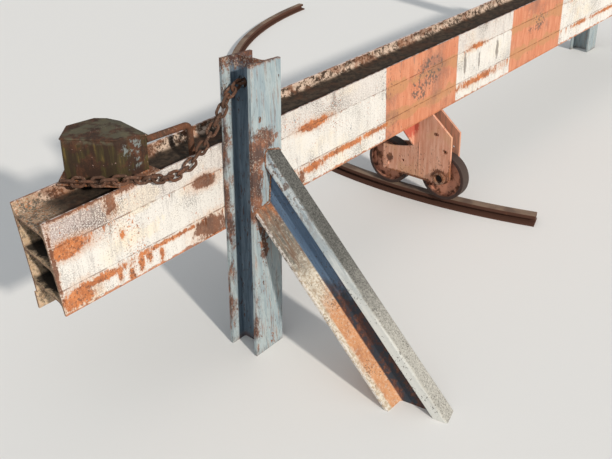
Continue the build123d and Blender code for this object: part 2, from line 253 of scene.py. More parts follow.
class SharedEffects:
    """The shader node groups that several finishes use."""

    def build(self) -> None:
        """Builds every group once."""
        unit = (1.0, 1.0, 1.0)
        self.make("patch", self.patch, {"Centre": unit, "Reach": unit, "Ragged": 0.5, "Grain": 40.0})
        band = {"Height": 0.0, "Level": 0.0, "Reach": 0.01, "Ragged": 0.5, "Grain": 20.0}
        self.make("band", self.band, band)
        self.make("drips", self.drips, {"Level": 0.0, "Length": 0.1, "Cover": 0.5, "Grain": 60.0})
        self.make("flecks", self.flecks, {"Scale": 300.0, "Cover": 0.3, "Clumps": 12.0})
        black = (0.0, 0.0, 0.0, 1.0)
        self.make("rust", self.rust, {"Heat": 0.5, "Dark": black, "Middle": black, "Bright": black})

    def make(self, name: str, rule: Callable[[dict[str, Wire]], dict[str, Wire]], inputs: dict) -> None:
        """Builds one group.

        Args:
            name: The group's name.
            rule: Works out the outputs from the inputs.
            inputs: Default of each input besides the place: a number, a vector or a colour.
        """
        tree = bpy.data.node_groups.new(name, "ShaderNodeTree")
        tree.interface.new_socket("Position", in_out="INPUT", socket_type="NodeSocketVector")
        for label, value in inputs.items():
            size = len(value) if isinstance(value, tuple) else 1
            kind = {1: "NodeSocketFloat", 3: "NodeSocketVector", 4: "NodeSocketColor"}[size]
            tree.interface.new_socket(label, in_out="INPUT", socket_type=kind).default_value = value
        given = tree.nodes.new("NodeGroupInput")
        wires = {socket.name: Wire(tree, socket) for socket in given.outputs if socket.name}
        results = rule(wires)
        for label in results:
            kind = "NodeSocketColor" if label == "Color" else "NodeSocketFloat"
            tree.interface.new_socket(label, in_out="OUTPUT", socket_type=kind)
        out = tree.nodes.new("NodeGroupOutput")
        for label, wire in results.items():
            tree.links.new(wire.socket, out.inputs[label])

    def patch(self, given: dict[str, Wire]) -> dict[str, Wire]:
        """A ragged blot round a centre, such as a rust patch, and the soft halo round it.

        Args:
            given: Inputs of the group by name.

        Returns:
            Outputs of the group by name.
        """
        place = given["Position"]
        spread = place.vector("SUBTRACT", given["Centre"]).vector("DIVIDE", given["Reach"])
        length = spread.vector("LENGTH", output="Value")
        rag = place.noise(given["Grain"], 8.0, 0.72)
        runs = place.upright(0.25).noise(150.0, 5.0, 0.75)
        torn = (rag - 0.5) * 3.6 + (runs - 0.5) * 2.6
        edge = length + torn * given["Ragged"]
        return {"Mask": edge.step(1.10, 0.80), "Halo": edge.step(1.90, 0.90)}

    def band(self, given: dict[str, Wire]) -> dict[str, Wire]:
        """A ragged band about one level of a coordinate.

        Args:
            given: Inputs of the group by name.

        Returns:
            Outputs of the group by name.
        """
        share = abs(given["Height"] - given["Level"]) / given["Reach"]
        rag = given["Position"].noise(given["Grain"], 5.0, 0.62)
        pushed = (rag - 0.5) * given["Ragged"]
        return {"Mask": (share + pushed * 5.0).step(1.15, 0.7)}

    def drips(self, given: dict[str, Wire]) -> dict[str, Wire]:
        """Upright runs that hang below one level and fade out.

        Args:
            given: Inputs of the group by name.

        Returns:
            Outputs of the group by name.
        """
        place = given["Position"]
        below = (given["Level"] - place.axis("Z")) / given["Length"]
        runs = place.upright(0.06).noise(given["Grain"], 4.0, 0.6)
        reach = (runs - 0.5) * 4.5 + given["Cover"]
        return {"Mask": (reach - below).step(0.0, 0.18) * below.step(-0.04, 0.04)}

    def flecks(self, given: dict[str, Wire]) -> dict[str, Wire]:
        """Scattered small chips and pits.

        Args:
            given: Inputs of the group by name.

        Returns:
            Outputs of the group by name.
        """
        place = given["Position"]
        fine = place.noise(given["Scale"], 2.0, 0.7)
        clump = place.noise(given["Clumps"], 3.0, 0.6)
        limit = 1.12 - given["Cover"] * 0.6
        return {"Mask": (clump * 0.55 + fine - limit).step(-0.02, 0.045)}

    def rust(self, given: dict[str, Wire]) -> dict[str, Wire]:
        """Rust's own colour, from dark scale to bright bloom.

        Args:
            given: Inputs of the group by name.

        Returns:
            Outputs of the group by name.
        """
        place = given["Position"]
        broad = place.noise(17.0, 5.0, 0.66)
        runs = place.upright(0.22).noise(95.0, 4.0, 0.65)
        fine = place.noise(260.0, 4.0, 0.75)
        warm = broad * 0.50 + runs * 0.25 + fine * 0.25 + (given["Heat"] - 0.5)
        old = warm.step(0.36, 0.50).mix(given["Dark"], given["Middle"])
        return {"Color": warm.step(0.48, 0.64).mix(old, given["Bright"])}


@dataclass(frozen=True)
class Blot:
    """One stain at a known place on a piece.

    Attributes:
        centre: Its centre in metres.
        reach: Its half sizes in metres.
        ragged: How torn its outline is.
        grain: How fine the tearing is.
    """

    centre: Point
    reach: Point
    ragged: float
    grain: float


def face_blots(*rows: tuple[float, ...]) -> tuple[Blot, ...]:
    """Stains on the beam's faces, by place along and up, half sizes, raggedness and grain."""
    return tuple(Blot((x, 0.0, z), (wide, THROUGH, high), *torn) for x, z, wide, high, *torn in rows)


class Finish:
    """A finish that a piece is dressed in, built as one material."""

    name = "finish"

    def begin(self) -> tuple[bpy.types.Material, Wire]:
        """Starts the material.

        Returns:
            The material and the place in object coordinates.
        """
        material = bpy.data.materials.new(self.name)
        material.use_nodes = True
        material.node_tree.nodes.clear()
        source = add_node(material.node_tree, "ShaderNodeTexCoord", {})
        return material, Wire(material.node_tree, source.outputs["Object"])

    def end(
        self, material: bpy.types.Material, colour: Wire, height: Wire, rough: Wire
    ) -> bpy.types.Material:
        """Finishes the material.

        Args:
            material: The material.
            colour: Base colour.
            height: Relief, from 0 to 1.
            rough: Roughness.

        Returns:
            The material.
        """
        relief = {"Strength": RELIEF_STRENGTH, "Distance": RELIEF_DEPTH, "Height": height}
        feeds = {
            "Base Color": colour,
            "Roughness": rough,
            "Normal": colour.node("ShaderNodeBump", relief),
            "Specular IOR Level": SHEEN,
        }
        surface = colour.node("ShaderNodeBsdfPrincipled", feeds)
        output = material.node_tree.nodes.new("ShaderNodeOutputMaterial")
        material.node_tree.links.new(surface.socket, output.inputs[0])
        return material

    def blots(self, place: Wire, blots: Iterable[Blot], output: str = "Mask") -> Wire:
        """The masks of several stains, joined.

        Args:
            place: Object coordinates.
            blots: The stains.
            output: "Mask" for the stains, "Halo" for the soft tint round them.

        Returns:
            One mask.
        """
        return reduce(or_, [place.group("patch", output, **vars(blot)) for blot in blots])

    def build(self) -> bpy.types.Material:
        """Builds the material."""
        raise NotImplementedError


@dataclass(frozen=True)
class BarrierPaint(Finish):
    """White and faded red bands over a rusting beam."""

    name: str = "barrier_paint_finish"
    white: Colour = (0.71, 0.68, 0.63)
    cream: Colour = (0.75, 0.665, 0.52)
    white_shade: Colour = (0.44, 0.41, 0.385)
    mottle: Colour = (0.40, 0.31, 0.285)
    red: Colour = (0.52, 0.185, 0.095)
    red_pale: Colour = (0.62, 0.27, 0.155)
    red_tan: Colour = (0.46, 0.23, 0.105)
    red_soot: Colour = (0.25, 0.12, 0.085)
    speck: Colour = (0.105, 0.085, 0.072)
    chip: Colour = (0.215, 0.225, 0.24)
    soot: Colour = (0.19, 0.165, 0.145)
    channel_dark: Colour = (0.052, 0.034, 0.023)
    channel_tan: Colour = (0.25, 0.165, 0.105)
    peel: Colour = (0.68, 0.52, 0.41)
    # Painted shade, nearly black, in the cavities at the open end
    hollow: Colour = (0.012, 0.010, 0.008)
    mouth_green: Colour = (0.185, 0.170, 0.128)
    mouth_tan: Colour = (0.40, 0.275, 0.175)
    # Painted sunlight on the open end's faces below the upper seam
    mouth_sand: Colour = (0.56, 0.42, 0.26)
    mouth_orange: Colour = (0.34, 0.135, 0.052)
    edge_pink: Colour = (0.60, 0.49, 0.45)
    edge_brown: Colour = (0.24, 0.12, 0.075)
    tint: Colour = (0.56, 0.31, 0.17)
    held_paint: Colour = (0.66, 0.4, 0.24)
    pit: Colour = (0.11, 0.042, 0.024)
    flake: Colour = (0.5, 0.36, 0.27)
    seam_rust: Colour = (0.2, 0.08, 0.036)
    # Painted shade of the webs, which lie in the near flange's shadow
    web_black: Colour = (0.02, 0.015, 0.011)
    sawn_dark: Colour = (0.17, 0.095, 0.06)
    sawn_pale: Colour = (0.33, 0.22, 0.14)
    hot_rust: RustTone = RustTone(0.54, (0.17, 0.054, 0.024), (0.35, 0.104, 0.032), (0.56, 0.185, 0.055))
    # Darkened to match the patches beside the post, which lie in its shadow: rust with painted shade in it
    cold_rust: RustTone = RustTone(0.47, (0.085, 0.032, 0.017), (0.16, 0.055, 0.024), (0.31, 0.105, 0.038))
    pit_shift: Point = (0.3, 0.1, 0.7)
    red_bands: tuple[tuple[float, float], ...] = ((0.930, 1.495), (2.015, 2.592))
    rust_blots: tuple[Blot, ...] = face_blots(
        (-0.640, 0.698, 0.072, 0.030, 0.42, 26.0),
        (-0.645, 0.524, 0.062, 0.038, 0.55, 30.0),
        (-0.560, 0.546, 0.110, 0.013, 0.8, 40.0),
        (-0.270, 0.556, 0.140, 0.008, 0.9, 44.0),
        (-0.489, 0.530, 0.009, 0.026, 0.7, 60.0),
        (-0.444, 0.502, 0.013, 0.022, 0.7, 60.0),
        (-0.402, 0.524, 0.012, 0.030, 0.7, 60.0),
        (-0.368, 0.534, 0.010, 0.022, 0.7, 60.0),
        (-0.319, 0.524, 0.010, 0.026, 0.7, 60.0),
        (-0.455, 0.660, 0.010, 0.016, 0.9, 60.0),
        (0.465, 0.718, 0.090, 0.020, 0.55, 30.0),
        (0.450, 0.544, 0.070, 0.018, 0.75, 38.0),
        (0.640, 0.553, 0.170, 0.012, 0.95, 40.0),
        (0.850, 0.556, 0.100, 0.010, 0.95, 40.0),
        (1.700, 0.545, 0.210, 0.015, 1.0, 34.0),
        (1.670, 0.717, 0.075, 0.013, 1.0, 40.0),
        (2.860, 0.556, 0.080, 0.012, 0.9, 36.0),
        (3.250, 0.553, 0.200, 0.009, 1.0, 36.0),
        (3.900, 0.535, 0.160, 0.030, 0.8, 34.0),
        (4.120, 0.700, 0.070, 0.024, 0.7, 34.0),
    )
    brown_blots: tuple[Blot, ...] = face_blots(
        # Beside the post: rust patches, darkened through cold_rust as painted shade of the post
        (-0.107, 0.701, 0.060, 0.024, 0.40, 34.0),
        (-0.105, 0.528, 0.074, 0.042, 0.62, 34.0),
        # Under the lock box: rust stain with the chain's shadow painted into it
        (-0.480, 0.782, 0.020, 0.044, 1.05, 52.0),
        (-0.420, 0.810, 0.078, 0.018, 0.70, 44.0),
        (-0.600, 0.808, 0.120, 0.008, 0.9, 60.0),
        (-0.700, 0.655, 0.008, 0.140, 1.1, 60.0),
        (0.380, 0.520, 0.020, 0.030, 0.8, 44.0),
    )
    cream_blots: tuple[Blot, ...] = face_blots(
        (-0.385, 0.742, 0.095, 0.040, 0.35, 16.0),
        (-0.400, 0.630, 0.080, 0.030, 1.0, 12.0),
    )
    pocked_blots: tuple[Blot, ...] = face_blots(
        (1.270, 0.700, 0.100, 0.075, 0.5, 20.0),
        (1.180, 0.640, 0.060, 0.060, 0.5, 20.0),
        (2.300, 0.690, 0.100, 0.060, 0.5, 20.0),
    )
    streak_blots: tuple[Blot, ...] = face_blots(
        (1.566, 0.655, 0.012, 0.060, 0.6, 60.0),
        (1.872, 0.650, 0.014, 0.050, 0.6, 60.0),
        (1.700, 0.640, 0.008, 0.045, 0.8, 60.0),
    )

    def bands(self, place: Wire) -> Wire:
        """The mask of the red bands."""
        moved = place.axis("X") + (place.noise(40.0) - 0.5) * 0.01
        return reduce(or_, [
            moved.step(start - 0.002, start + 0.002) * moved.step(stop + 0.002, stop - 0.002)
            for start, stop in self.red_bands
        ])

    def white_coat(self, place: Wire, height: Wire) -> Wire:
        """Chalky white, greyer where rain has worn it.

        Args:
            place: Object coordinates.
            height: Height of the place.

        Returns:
            The colour.
        """
        broad = place.noise(6.0, 4.0, 0.6)
        drawn = place.upright(0.14).noise(75.0, 6.0, 0.72)
        fine = place.noise(210.0, 4.0, 0.8)
        colour = broad.step(0.48, 0.8).mix(self.white, self.cream)
        fresh = self.blots(place, self.cream_blots)
        colour = (fresh * 0.65).mix(colour, self.cream)
        worn = drawn * 0.6 + fine * 0.4
        thin = place.noise(9.0, 4.0, 0.62).step(0.4, 0.6)
        worn = worn.step(0.48, 0.6) * (0.32 + thin * 0.4)
        colour = worn.mix(colour, self.white_shade)
        along = place.axis("X")
        dull = along.step(-0.42, -0.56) * height.step(0.64, 0.74)
        dull = dull + height.step(0.716, 0.722) * 0.35
        return (dull * fine.step(0.38, 0.56)).mix(colour, self.mottle)

    def red_coat(self, place: Wire, height: Wire) -> Wire:
        """Faded red, brushed upright and smeared with tan along the seams.

        Args:
            place: Object coordinates.
            height: Height of the place.

        Returns:
            The colour.
        """
        drawn = place.upright(0.16).noise(60.0, 5.0, 0.62)
        colour = drawn.step(0.34, 0.7).mix(self.red, self.red_pale)
        low = place.band(height, LOWER_SEAM_Z - 0.004, 0.028, 0.8, 11.0)
        high = place.band(height, UPPER_SEAM_Z - 0.016, 0.026, 1.0, 8.0)
        smear = low | high
        colour = (smear * 0.75).mix(colour, self.red_tan)
        cloud = place.noise(5.0, 5.0, 0.65)
        colour = (cloud.step(0.5, 0.68) * 0.6).mix(colour, self.red_soot)
        pocked = place.flecks(70.0, 0.5, 18.0)
        pocked = pocked * self.blots(place, self.pocked_blots)
        return (pocked * 0.85).mix(colour, self.speck)

    def rust_mask(self, place: Wire, height: Wire, red_mask: Wire) -> Wire:
        """Where the paint has gone to rust.

        Args:
            place: Object coordinates.
            height: Height of the place.
            red_mask: Mask of the red bands, which hold better.

        Returns:
            The mask.
        """
        held = 1.0 - red_mask * 0.85
        drip = place.drips(LOWER_SEAM_Z - 0.004, 0.06, -0.02, 58.0)
        drip_high = place.drips(UPPER_SEAM_Z - 0.002, 0.045, -0.3, 48.0)
        specks = place.flecks(130.0, 0.3, 7.0)
        loose = (drip | drip_high | specks) * held
        foot = place.band(height, BEAM_FOOT_Z - 0.003, 0.012, 0.7, 26.0)
        foot = foot * (0.35 + held * 0.55)
        return self.blots(place, self.rust_blots) | foot | loose * 0.9

    def channel(self, place: Wire, height: Wire, across: Wire) -> Wire:
        """Inside the channels: brown scale, peeling paint on the rear flange, painted shade on the webs and
        in the cavities at the open end.

        Args:
            place: Object coordinates.
            height: Height of the place.
            across: Place across the beam.

        Returns:
            The colour.
        """
        coarse = place.noise(34.0, 6.0, 0.72)
        fine = place.noise(120.0, 5.0, 0.74)
        both = coarse * 0.55 + fine * 0.45
        colour = coarse.step(0.4, 0.62).mix(self.channel_dark, self.channel_tan)
        flange = across.step(BEAM_BACK_Y - 0.03, BEAM_BACK_Y - 0.014)
        flakes = both.step(0.475, 0.525) * (flange * 0.8)
        colour = flakes.mix(colour, self.peel)
        rust = place.rust(RustTone(0.46))
        bloom = place.noise(12.0, 5.0, 0.66).step(0.5, 0.6)
        colour = (bloom * 0.62).mix(colour, rust)
        # Painted shade: the webs are darkened nearly to black for the near flange's shadow
        webs = 1.0 - flange
        colour = (webs * 0.78).mix(colour, self.web_black)

        # The open end, mossy grey, tan and orange, over cavities painted nearly black as shade
        along = place.axis("X") + (coarse - 0.5) * 0.1
        mouth = coarse.step(0.44, 0.56).mix(self.mouth_green, self.mouth_tan)
        mouth = fine.step(0.5, 0.58).mix(mouth, self.mouth_orange)
        # Painted sunlight: below the upper seam the open end is made paler, as where the sun reaches in
        lit = height.step(UPPER_SEAM_Z + 0.01, UPPER_SEAM_Z - 0.004) * 0.62
        mouth = lit.mix(mouth, self.mouth_sand)
        scurf = place.noise(150.0, 5.0, 0.75)
        mouth = (scurf.step(0.5, 0.57) * 0.55).mix(mouth, self.peel)
        mouth = (both.step(0.48, 0.455) * 0.6).mix(mouth, self.channel_dark)
        colour = (along.step(-0.56, -0.64) * 0.88).mix(colour, mouth)
        # Painted shade: deep in the cavities, away from the sunlit rear flange, the colour goes nearly black
        under = height.step(UPPER_SEAM_Z + 0.046, UPPER_SEAM_Z + 0.038)
        shadowed_inside = across.step(0.266, 0.256) * along.step(-0.69, -0.672)
        deep = under * (shadowed_inside | along.step(-0.612, -0.578))
        return (deep * 0.96).mix(colour, self.hollow)

    def build(self) -> bpy.types.Material:
        """Builds the painted beam's material.

        Returns:
            The material.
        """
        material, place = self.begin()
        across = place.axis("Y")
        height = place.axis("Z")
        facing = place.node("ShaderNodeTexCoord", {}, "Normal").axis("X")
        behind_face = across.step(BEAM_FACE_Y + 0.002, BEAM_FACE_Y + 0.0036)
        inside = behind_face * across.step(BEAM_BACK_Y - 0.002, BEAM_BACK_Y - 0.0036)
        grain = place.noise(340.0, 3.0, 0.7)
        brushed = place.upright(0.18).noise(42.0, 5.0, 0.65)
        red_mask = self.bands(place)
        paint = red_mask.mix(self.white_coat(place, height), self.red_coat(place, height))

        # Soot that ran down from the top edge and the upper seam
        runs = place.drips(BEAM_TOP_Z, 0.15, -0.34, 44.0)
        low_runs = place.drips(UPPER_SEAM_Z, 0.13, -0.42, 50.0)
        dark = (runs | low_runs) * 0.45 | self.blots(place, self.streak_blots) * 0.8
        paint = dark.mix(paint, self.soot)

        # Small chips, dense on the white and sparse on the red
        fine = place.flecks(210.0, 0.46, 5.0)
        clean = place.noise(6.5, 5.0, 0.66).step(0.62, 0.47)
        fine = fine * (1.0 - (red_mask | clean * 0.8) * 0.75)
        paint = (fine * 0.72).mix(paint, self.speck)
        coarse = place.upright(0.6).flecks(95.0, 0.24, 5.0)
        paint = (coarse * 0.85).mix(paint, red_mask.mix(self.chip, self.red_soot))

        # Rust over the paint, a darker brown under it, partly painted shade beside the post and painted chain
        # shadow under the lock box
        rusted = self.rust_mask(place, height, red_mask)
        halo = self.blots(place, (*self.rust_blots, *self.brown_blots), "Halo")
        paint = (halo * 0.42).mix(paint, self.tint)
        held_on = place.flecks(190.0, 0.42, 16.0)
        stain = (held_on * 0.34).mix(place.rust(self.hot_rust), self.held_paint)
        pitted = place.node("ShaderNodeMapping", {0: place, 1: self.pit_shift}).flecks(150.0, 0.42, 20.0)
        stain = (pitted * 0.75).mix(stain, self.pit)
        colour = (rusted * 0.94).mix(paint, stain)
        brown = self.blots(place, self.brown_blots)
        flaked = (held_on * 0.14).mix(place.rust(self.cold_rust), self.flake)
        colour = (brown * 0.9).mix(colour, flaked)

        # Seams, rusty and broken
        away = abs(height - LOWER_SEAM_Z) & abs(height - UPPER_SEAM_Z)
        seam = away.step(0.004, 0.0008) * place.noise(33.0, 5.0, 0.7).step(0.42, 0.58)
        colour = (seam * 0.66).mix(colour, self.seam_rust)

        # Channels, flange tips and the sawn ends
        colour = inside.mix(colour, self.channel(place, height, across))
        tip = inside * height.step(BEAM_TOP_Z - 0.0022, BEAM_TOP_Z - 0.0008)
        tip_wear = brushed.step(0.44, 0.56).mix(self.edge_pink, self.edge_brown)
        colour = tip.mix(colour, tip_wear)
        sawn = place.noise(60.0, 5.0, 0.7).step(0.42, 0.6).mix(self.sawn_dark, self.sawn_pale)
        colour = facing.step(-0.55, -0.8).mix(colour, sawn)

        bare = rusted | (fine | coarse) | inside
        relief = grain * 0.35 + brushed * 0.25 - bare * 0.4
        rough = 0.62 + bare * 0.28
        return self.end(material, colour, relief, rough)


@dataclass(frozen=True)
class PostPaint(Finish):
    """Pale blue paint on the posts, with painted shade in darker blue on the web and the shaded rear flange,
    rust along the edges.
    """

    name: str = "post_paint_finish"
    lean: float = 0.0699
    pale: Colour = (0.225, 0.285, 0.310)
    chalk: Colour = (0.43, 0.485, 0.485)
    smear: Colour = (0.19, 0.255, 0.30)
    # Painted shade: the blues of the web and of the rear flange in the front flange's shadow
    blue: Colour = (0.135, 0.185, 0.235)
    web_blue: Colour = (0.070, 0.105, 0.142)
    dirt: Colour = (0.060, 0.045, 0.038)
    web_dirt: Colour = (0.085, 0.045, 0.03)
    cream: Colour = (0.52, 0.48, 0.40)
    rust_blots: tuple[Blot, ...] = (
        Blot((0.046, -0.07, 0.842), (0.058, 0.03, 0.040), 0.62, 24.0),
        Blot((0.010, -0.07, 0.800), (0.046, 0.03, 0.055), 0.62, 24.0),
        Blot((-0.002, -0.07, 0.730), (0.034, 0.03, 0.070), 0.70, 26.0),
        Blot((-0.010, -0.07, 0.650), (0.030, 0.03, 0.070), 0.75, 30.0),
        Blot((-0.022, -0.07, 0.580), (0.026, 0.03, 0.035), 0.75, 34.0),
        Blot((-0.018, -0.07, 0.900), (0.009, 0.03, 0.060), 0.8, 50.0),
        Blot((0.033, -0.07, 0.911), (0.008, 0.03, 0.012), 0.6, 60.0),
        Blot((-0.026, -0.02, 0.300), (0.050, 0.04, 0.036), 1.1, 40.0),
        Blot((0.010, -0.06, 0.460), (0.020, 0.03, 0.090), 1.1, 40.0),
    )

    def build(self) -> bpy.types.Material:
        """Builds the posts' material.

        Returns:
            The material.
        """
        material, place = self.begin()
        across = place.axis("Y")
        height = place.axis("Z")
        drawn = place.upright(0.07).noise(85.0, 6.0, 0.68)
        broad = place.noise(7.0, 4.0, 0.6)
        cloud = place.upright(0.35).noise(20.0, 5.0, 0.62)
        fine = place.noise(90.0, 5.0, 0.72)
        grain = place.noise(320.0, 3.0, 0.7)
        along = place.axis("X") - height * self.lean
        web = across.step(-0.058, -0.055) * across.step(0.052, 0.049)
        # Painted shadow: where the front flange shades the rear flange's inner face, it takes the web's blue
        rear_flange_shadow = along.step(-0.04, -0.03) * across.step(0.066, 0.062)
        web = web | across.step(-0.058, -0.055) * rear_flange_shadow

        # Paint: pale and chalky outside, painted shade in blue in the channels
        paint = drawn.step(0.3, 0.68).mix(self.pale, self.chalk)
        paint = (cloud.step(0.45, 0.66) * 0.42).mix(paint, self.smear)
        deep = drawn.step(0.34, 0.66).mix(self.web_blue, self.blue)
        paint = (web * 0.95).mix(paint, deep)

        # Brown that has run down the inner face of the rear flange, the crown and the near edge
        rear = across.step(0.048, 0.053) * across.step(0.0685, 0.066)
        mottled = (cloud * 0.4 + fine * 0.6).step(0.46, 0.56)
        rear = rear * mottled * along.step(-0.03, -0.042) * broad.step(0.4, 0.56)
        high = (height + (fine - 0.5) * 0.16).step(1.045, 1.085)
        inner = across.step(-0.058, -0.05) * high
        torn = (fine - 0.5) * 0.06
        beside = (along + torn).step(-0.047, -0.06) * height.step(0.98, 0.9) * cloud.step(0.46, 0.58)

        # Upright scratches and chips, with rust in the larger ones
        tall = place.upright(0.24).flecks(120.0, 0.36, 7.0)
        tint = web.mix(self.dirt, self.web_dirt)
        paint = (tall * (0.26 + web * 0.6)).mix(paint, tint)
        spots = place.upright(0.45).flecks(80.0, 0.205, 4.0)
        crown = (height + fine * 0.034).step(1.1, 1.113)
        foot = (height + broad * 0.12).step(0.095, 0.04)
        corner = abs(across + (fine - 0.5) * 0.012).step(0.0655, 0.0685)
        corner = corner * drawn.step(0.52, 0.6)
        rusted = self.blots(place, self.rust_blots) | spots | crown | foot * 0.7 | corner * 0.55
        rusted = rusted | rear | inner | beside
        rust = place.rust(RustTone(0.42))
        flaked = place.flecks(130.0, 0.4, 14.0)
        scale = (flaked * 0.42).mix(rust, self.cream)
        colour = (rusted * 0.93).mix(paint, scale)
        relief = grain * 0.3 + drawn * 0.3 - (rusted | tall) * 0.3
        rough = 0.52 + (rusted | tall) * 0.36
        return self.end(material, colour, relief, rough)


@dataclass(frozen=True)
class RakerPaint(Finish):
    """Old rail as a strut: lichen on its head, pale blue sides, painted shade in blue and black on its web, a
    foot going to orange rust.
    """

    name: str = "raker_paint_finish"
    slope: float = 47.2
    skew: float = 1.7
    roll: float = -10.2
    crown_place: Point = (0.0845, -0.070, 0.790)
    half_head: float = 0.037
    half_foot: float = 0.080
    head_depth: float = 0.045
    foot_level: float = -0.124
    pale: Colour = (0.30, 0.36, 0.39)
    chalk: Colour = (0.55, 0.59, 0.59)
    white: Colour = (0.66, 0.65, 0.60)
    # Painted shade: the blues of the web, which lies in the head's shadow
    blue: Colour = (0.080, 0.130, 0.205)
    blue_pale: Colour = (0.135, 0.205, 0.30)
    lichen: Colour = (0.045, 0.044, 0.040)
    lichen_pale: Colour = (0.150, 0.147, 0.133)
    tan: Colour = (0.42, 0.33, 0.235)
    cream: Colour = (0.64, 0.585, 0.485)
    slate: Colour = (0.098, 0.092, 0.080)
    umber: Colour = (0.120, 0.060, 0.036)
    dirt: Colour = (0.060, 0.048, 0.040)
    crust_grey: Colour = (0.19, 0.185, 0.165)
    crust_pale: Colour = (0.56, 0.535, 0.475)
    slate_tan: Colour = (0.235, 0.188, 0.14)
    rim: Colour = (0.62, 0.58, 0.54)
    # Painted shade, blue-black, mixed with rust low on the web
    web_black: Colour = (0.03, 0.036, 0.045)
    hot_rust: RustTone = RustTone(0.6, middle=(0.38, 0.15, 0.065), bright=(0.56, 0.26, 0.115))
    cold_rust: RustTone = RustTone(0.5, dark=(0.085, 0.038, 0.022), middle=(0.22, 0.085, 0.04))

    def directions(self) -> tuple[Vector, Vector, Vector]:
        """Turns the strut's slope, skew and roll into directions.

        Returns:
            Directions down the strut, across its head and out of its crown.
        """
        slope, skew, roll = math.radians(self.slope), math.radians(self.skew), math.radians(self.roll)
        down = Vector((math.sin(skew) * math.cos(slope), -math.cos(skew) * math.cos(slope), -math.sin(slope)))
        level = Vector((math.cos(skew), math.sin(skew), 0.0))
        lift = down.cross(level)
        side = level * math.cos(roll) + lift * math.sin(roll)
        return down, side, lift * math.cos(roll) - level * math.sin(roll)

    def local(self, place: Wire) -> tuple[Wire, ...]:
        """Coordinates of the rail's own section.

        Args:
            place: Object coordinates.

        Returns:
            Distance down the strut, across its head and up from its crown.
        """
        offset = place.vector("SUBTRACT", self.crown_place)
        return tuple(offset.vector("DOT_PRODUCT", tuple(turn), "Value") for turn in self.directions())

    def head(self, run: Wire, place: Wire, down: Wire, side: Wire, above: Wire) -> Wire:
        """Colour of the rail's head.

        Args:
            run: Coordinates squeezed along the strut.
            place: Object coordinates.
            down: Distance down the strut.
            side: Distance across the head.
            above: Height over the crown.

        Returns:
            The colour.
        """
        drawn = run.noise(60.0, 5.0, 0.62)
        crust = place.noise(160.0, 5.0, 0.8)
        fine = place.noise(48.0, 5.0, 0.7)
        sides = drawn.step(0.4, 0.64).mix(self.pale, self.chalk)
        whiter = (down + fine * 0.4).step(0.4, 0.95)
        sides = (whiter * 0.85).mix(sides, self.white)
        scraped = fine.step(0.47, 0.56) * down.step(0.42, 0.1)
        sides = (scraped * 0.85).mix(sides, self.umber)
        grey = crust.step(0.4, 0.6).mix(self.lichen, self.lichen_pale)
        worn = crust.step(0.3, 0.64).mix(self.crust_grey, self.crust_pale)
        low = (down + fine * 0.4).step(0.55, 1.05)
        crown = (low * 0.9).mix(grey, worn)
        wander = (run.noise(34.0, 5.0, 0.7) - 0.5) * 0.034
        speckled = (crust - 0.5) * 0.03
        corner = side + above + (wander + speckled)
        return corner.step(-self.half_head - 0.01, -self.half_head + 0.006).mix(sides, crown)

    def foot(self, run: Wire, place: Wire, down: Wire, side: Wire) -> Wire:
        """Colour of the foot's upper faces.

        Args:
            run: Coordinates squeezed along the strut.
            place: Object coordinates.
            down: Distance down the strut.
            side: Distance across the foot.

        Returns:
            The colour.
        """
        drawn = run.noise(56.0, 6.0, 0.7)
        broad = place.noise(13.0, 5.0, 0.64)
        fine = place.noise(95.0, 5.0, 0.76)
        paint = fine.step(0.4, 0.58).mix(self.tan, self.cream)
        grimy = drawn.step(0.44, 0.6).mix(self.slate, self.slate_tan)
        grimy = (fine.step(0.53, 0.62) * 0.42).mix(grimy, self.cream)
        upper = (down + broad * 0.3).step(0.62, 0.46)
        paint = (upper * 0.92).mix(paint, grimy)
        hot = place.rust(self.hot_rust)
        toward_web = abs(side).step(self.half_foot * 0.86, self.half_foot * 0.5)
        warm = (down + broad * 0.2).step(0.56, 0.7)
        warm = warm * (toward_web + (broad + drawn)).step(1.0, 1.55)
        bloom = (fine.step(0.5, 0.64) * 0.38).mix(hot, self.cream)
        paint = (warm * 0.92).mix(paint, bloom)
        cold = place.rust(self.cold_rust)
        early = (down + drawn * 0.44).step(0.46, 0.32)
        paint = (early * 0.92).mix(paint, cold)
        streak = drawn.step(0.51, 0.6) * down.step(0.66, 0.3)
        paint = (streak * 0.75).mix(paint, self.umber)
        rim = abs(side).step(self.half_foot - 0.005, self.half_foot - 0.0015)
        rim = rim * fine.step(0.42, 0.54)
        return (rim * 0.7).mix(paint, self.rim)

    def build(self) -> bpy.types.Material:
        """Builds the strut's material.

        Returns:
            The material.
        """
        material, place = self.begin()
        down, side, above = self.local(place)
        run = place.node("ShaderNodeCombineXYZ", {0: down * 0.12, 1: side, 2: above})
        drawn = run.noise(60.0, 5.0, 0.62)
        broad = place.noise(13.0, 5.0, 0.62)
        # Painted shade: the web is blue, going to blue-black and rust further down
        web = drawn.step(0.34, 0.72).mix(self.blue, self.blue_pale)
        low = (down + broad * 0.3).step(0.6, 0.72)
        cold = place.rust(RustTone(0.38))
        patchy = place.noise(30.0, 5.0, 0.7).step(0.42, 0.56)
        scale = patchy.mix(self.web_black, cold)
        web = (low * 0.92).mix(web, scale)
        on_foot = above.step(self.foot_level - 0.002, self.foot_level - 0.008)
        colour = on_foot.mix(web, self.foot(run, place, down, side))
        head = self.head(run, place, down, side, above)
        colour = above.step(-self.head_depth, -self.head_depth + 0.003).mix(colour, head)
        pits = place.flecks(140.0, 0.31, 9.0)
        colour = (pits * 0.75).mix(colour, self.dirt)
        grain = place.noise(330.0, 3.0, 0.7)
        crust = place.noise(130.0, 4.0, 0.75)
        relief = grain * 0.35 + crust * 0.45
        rough = 0.66 + crust * 0.2
        return self.end(material, colour, relief, rough)


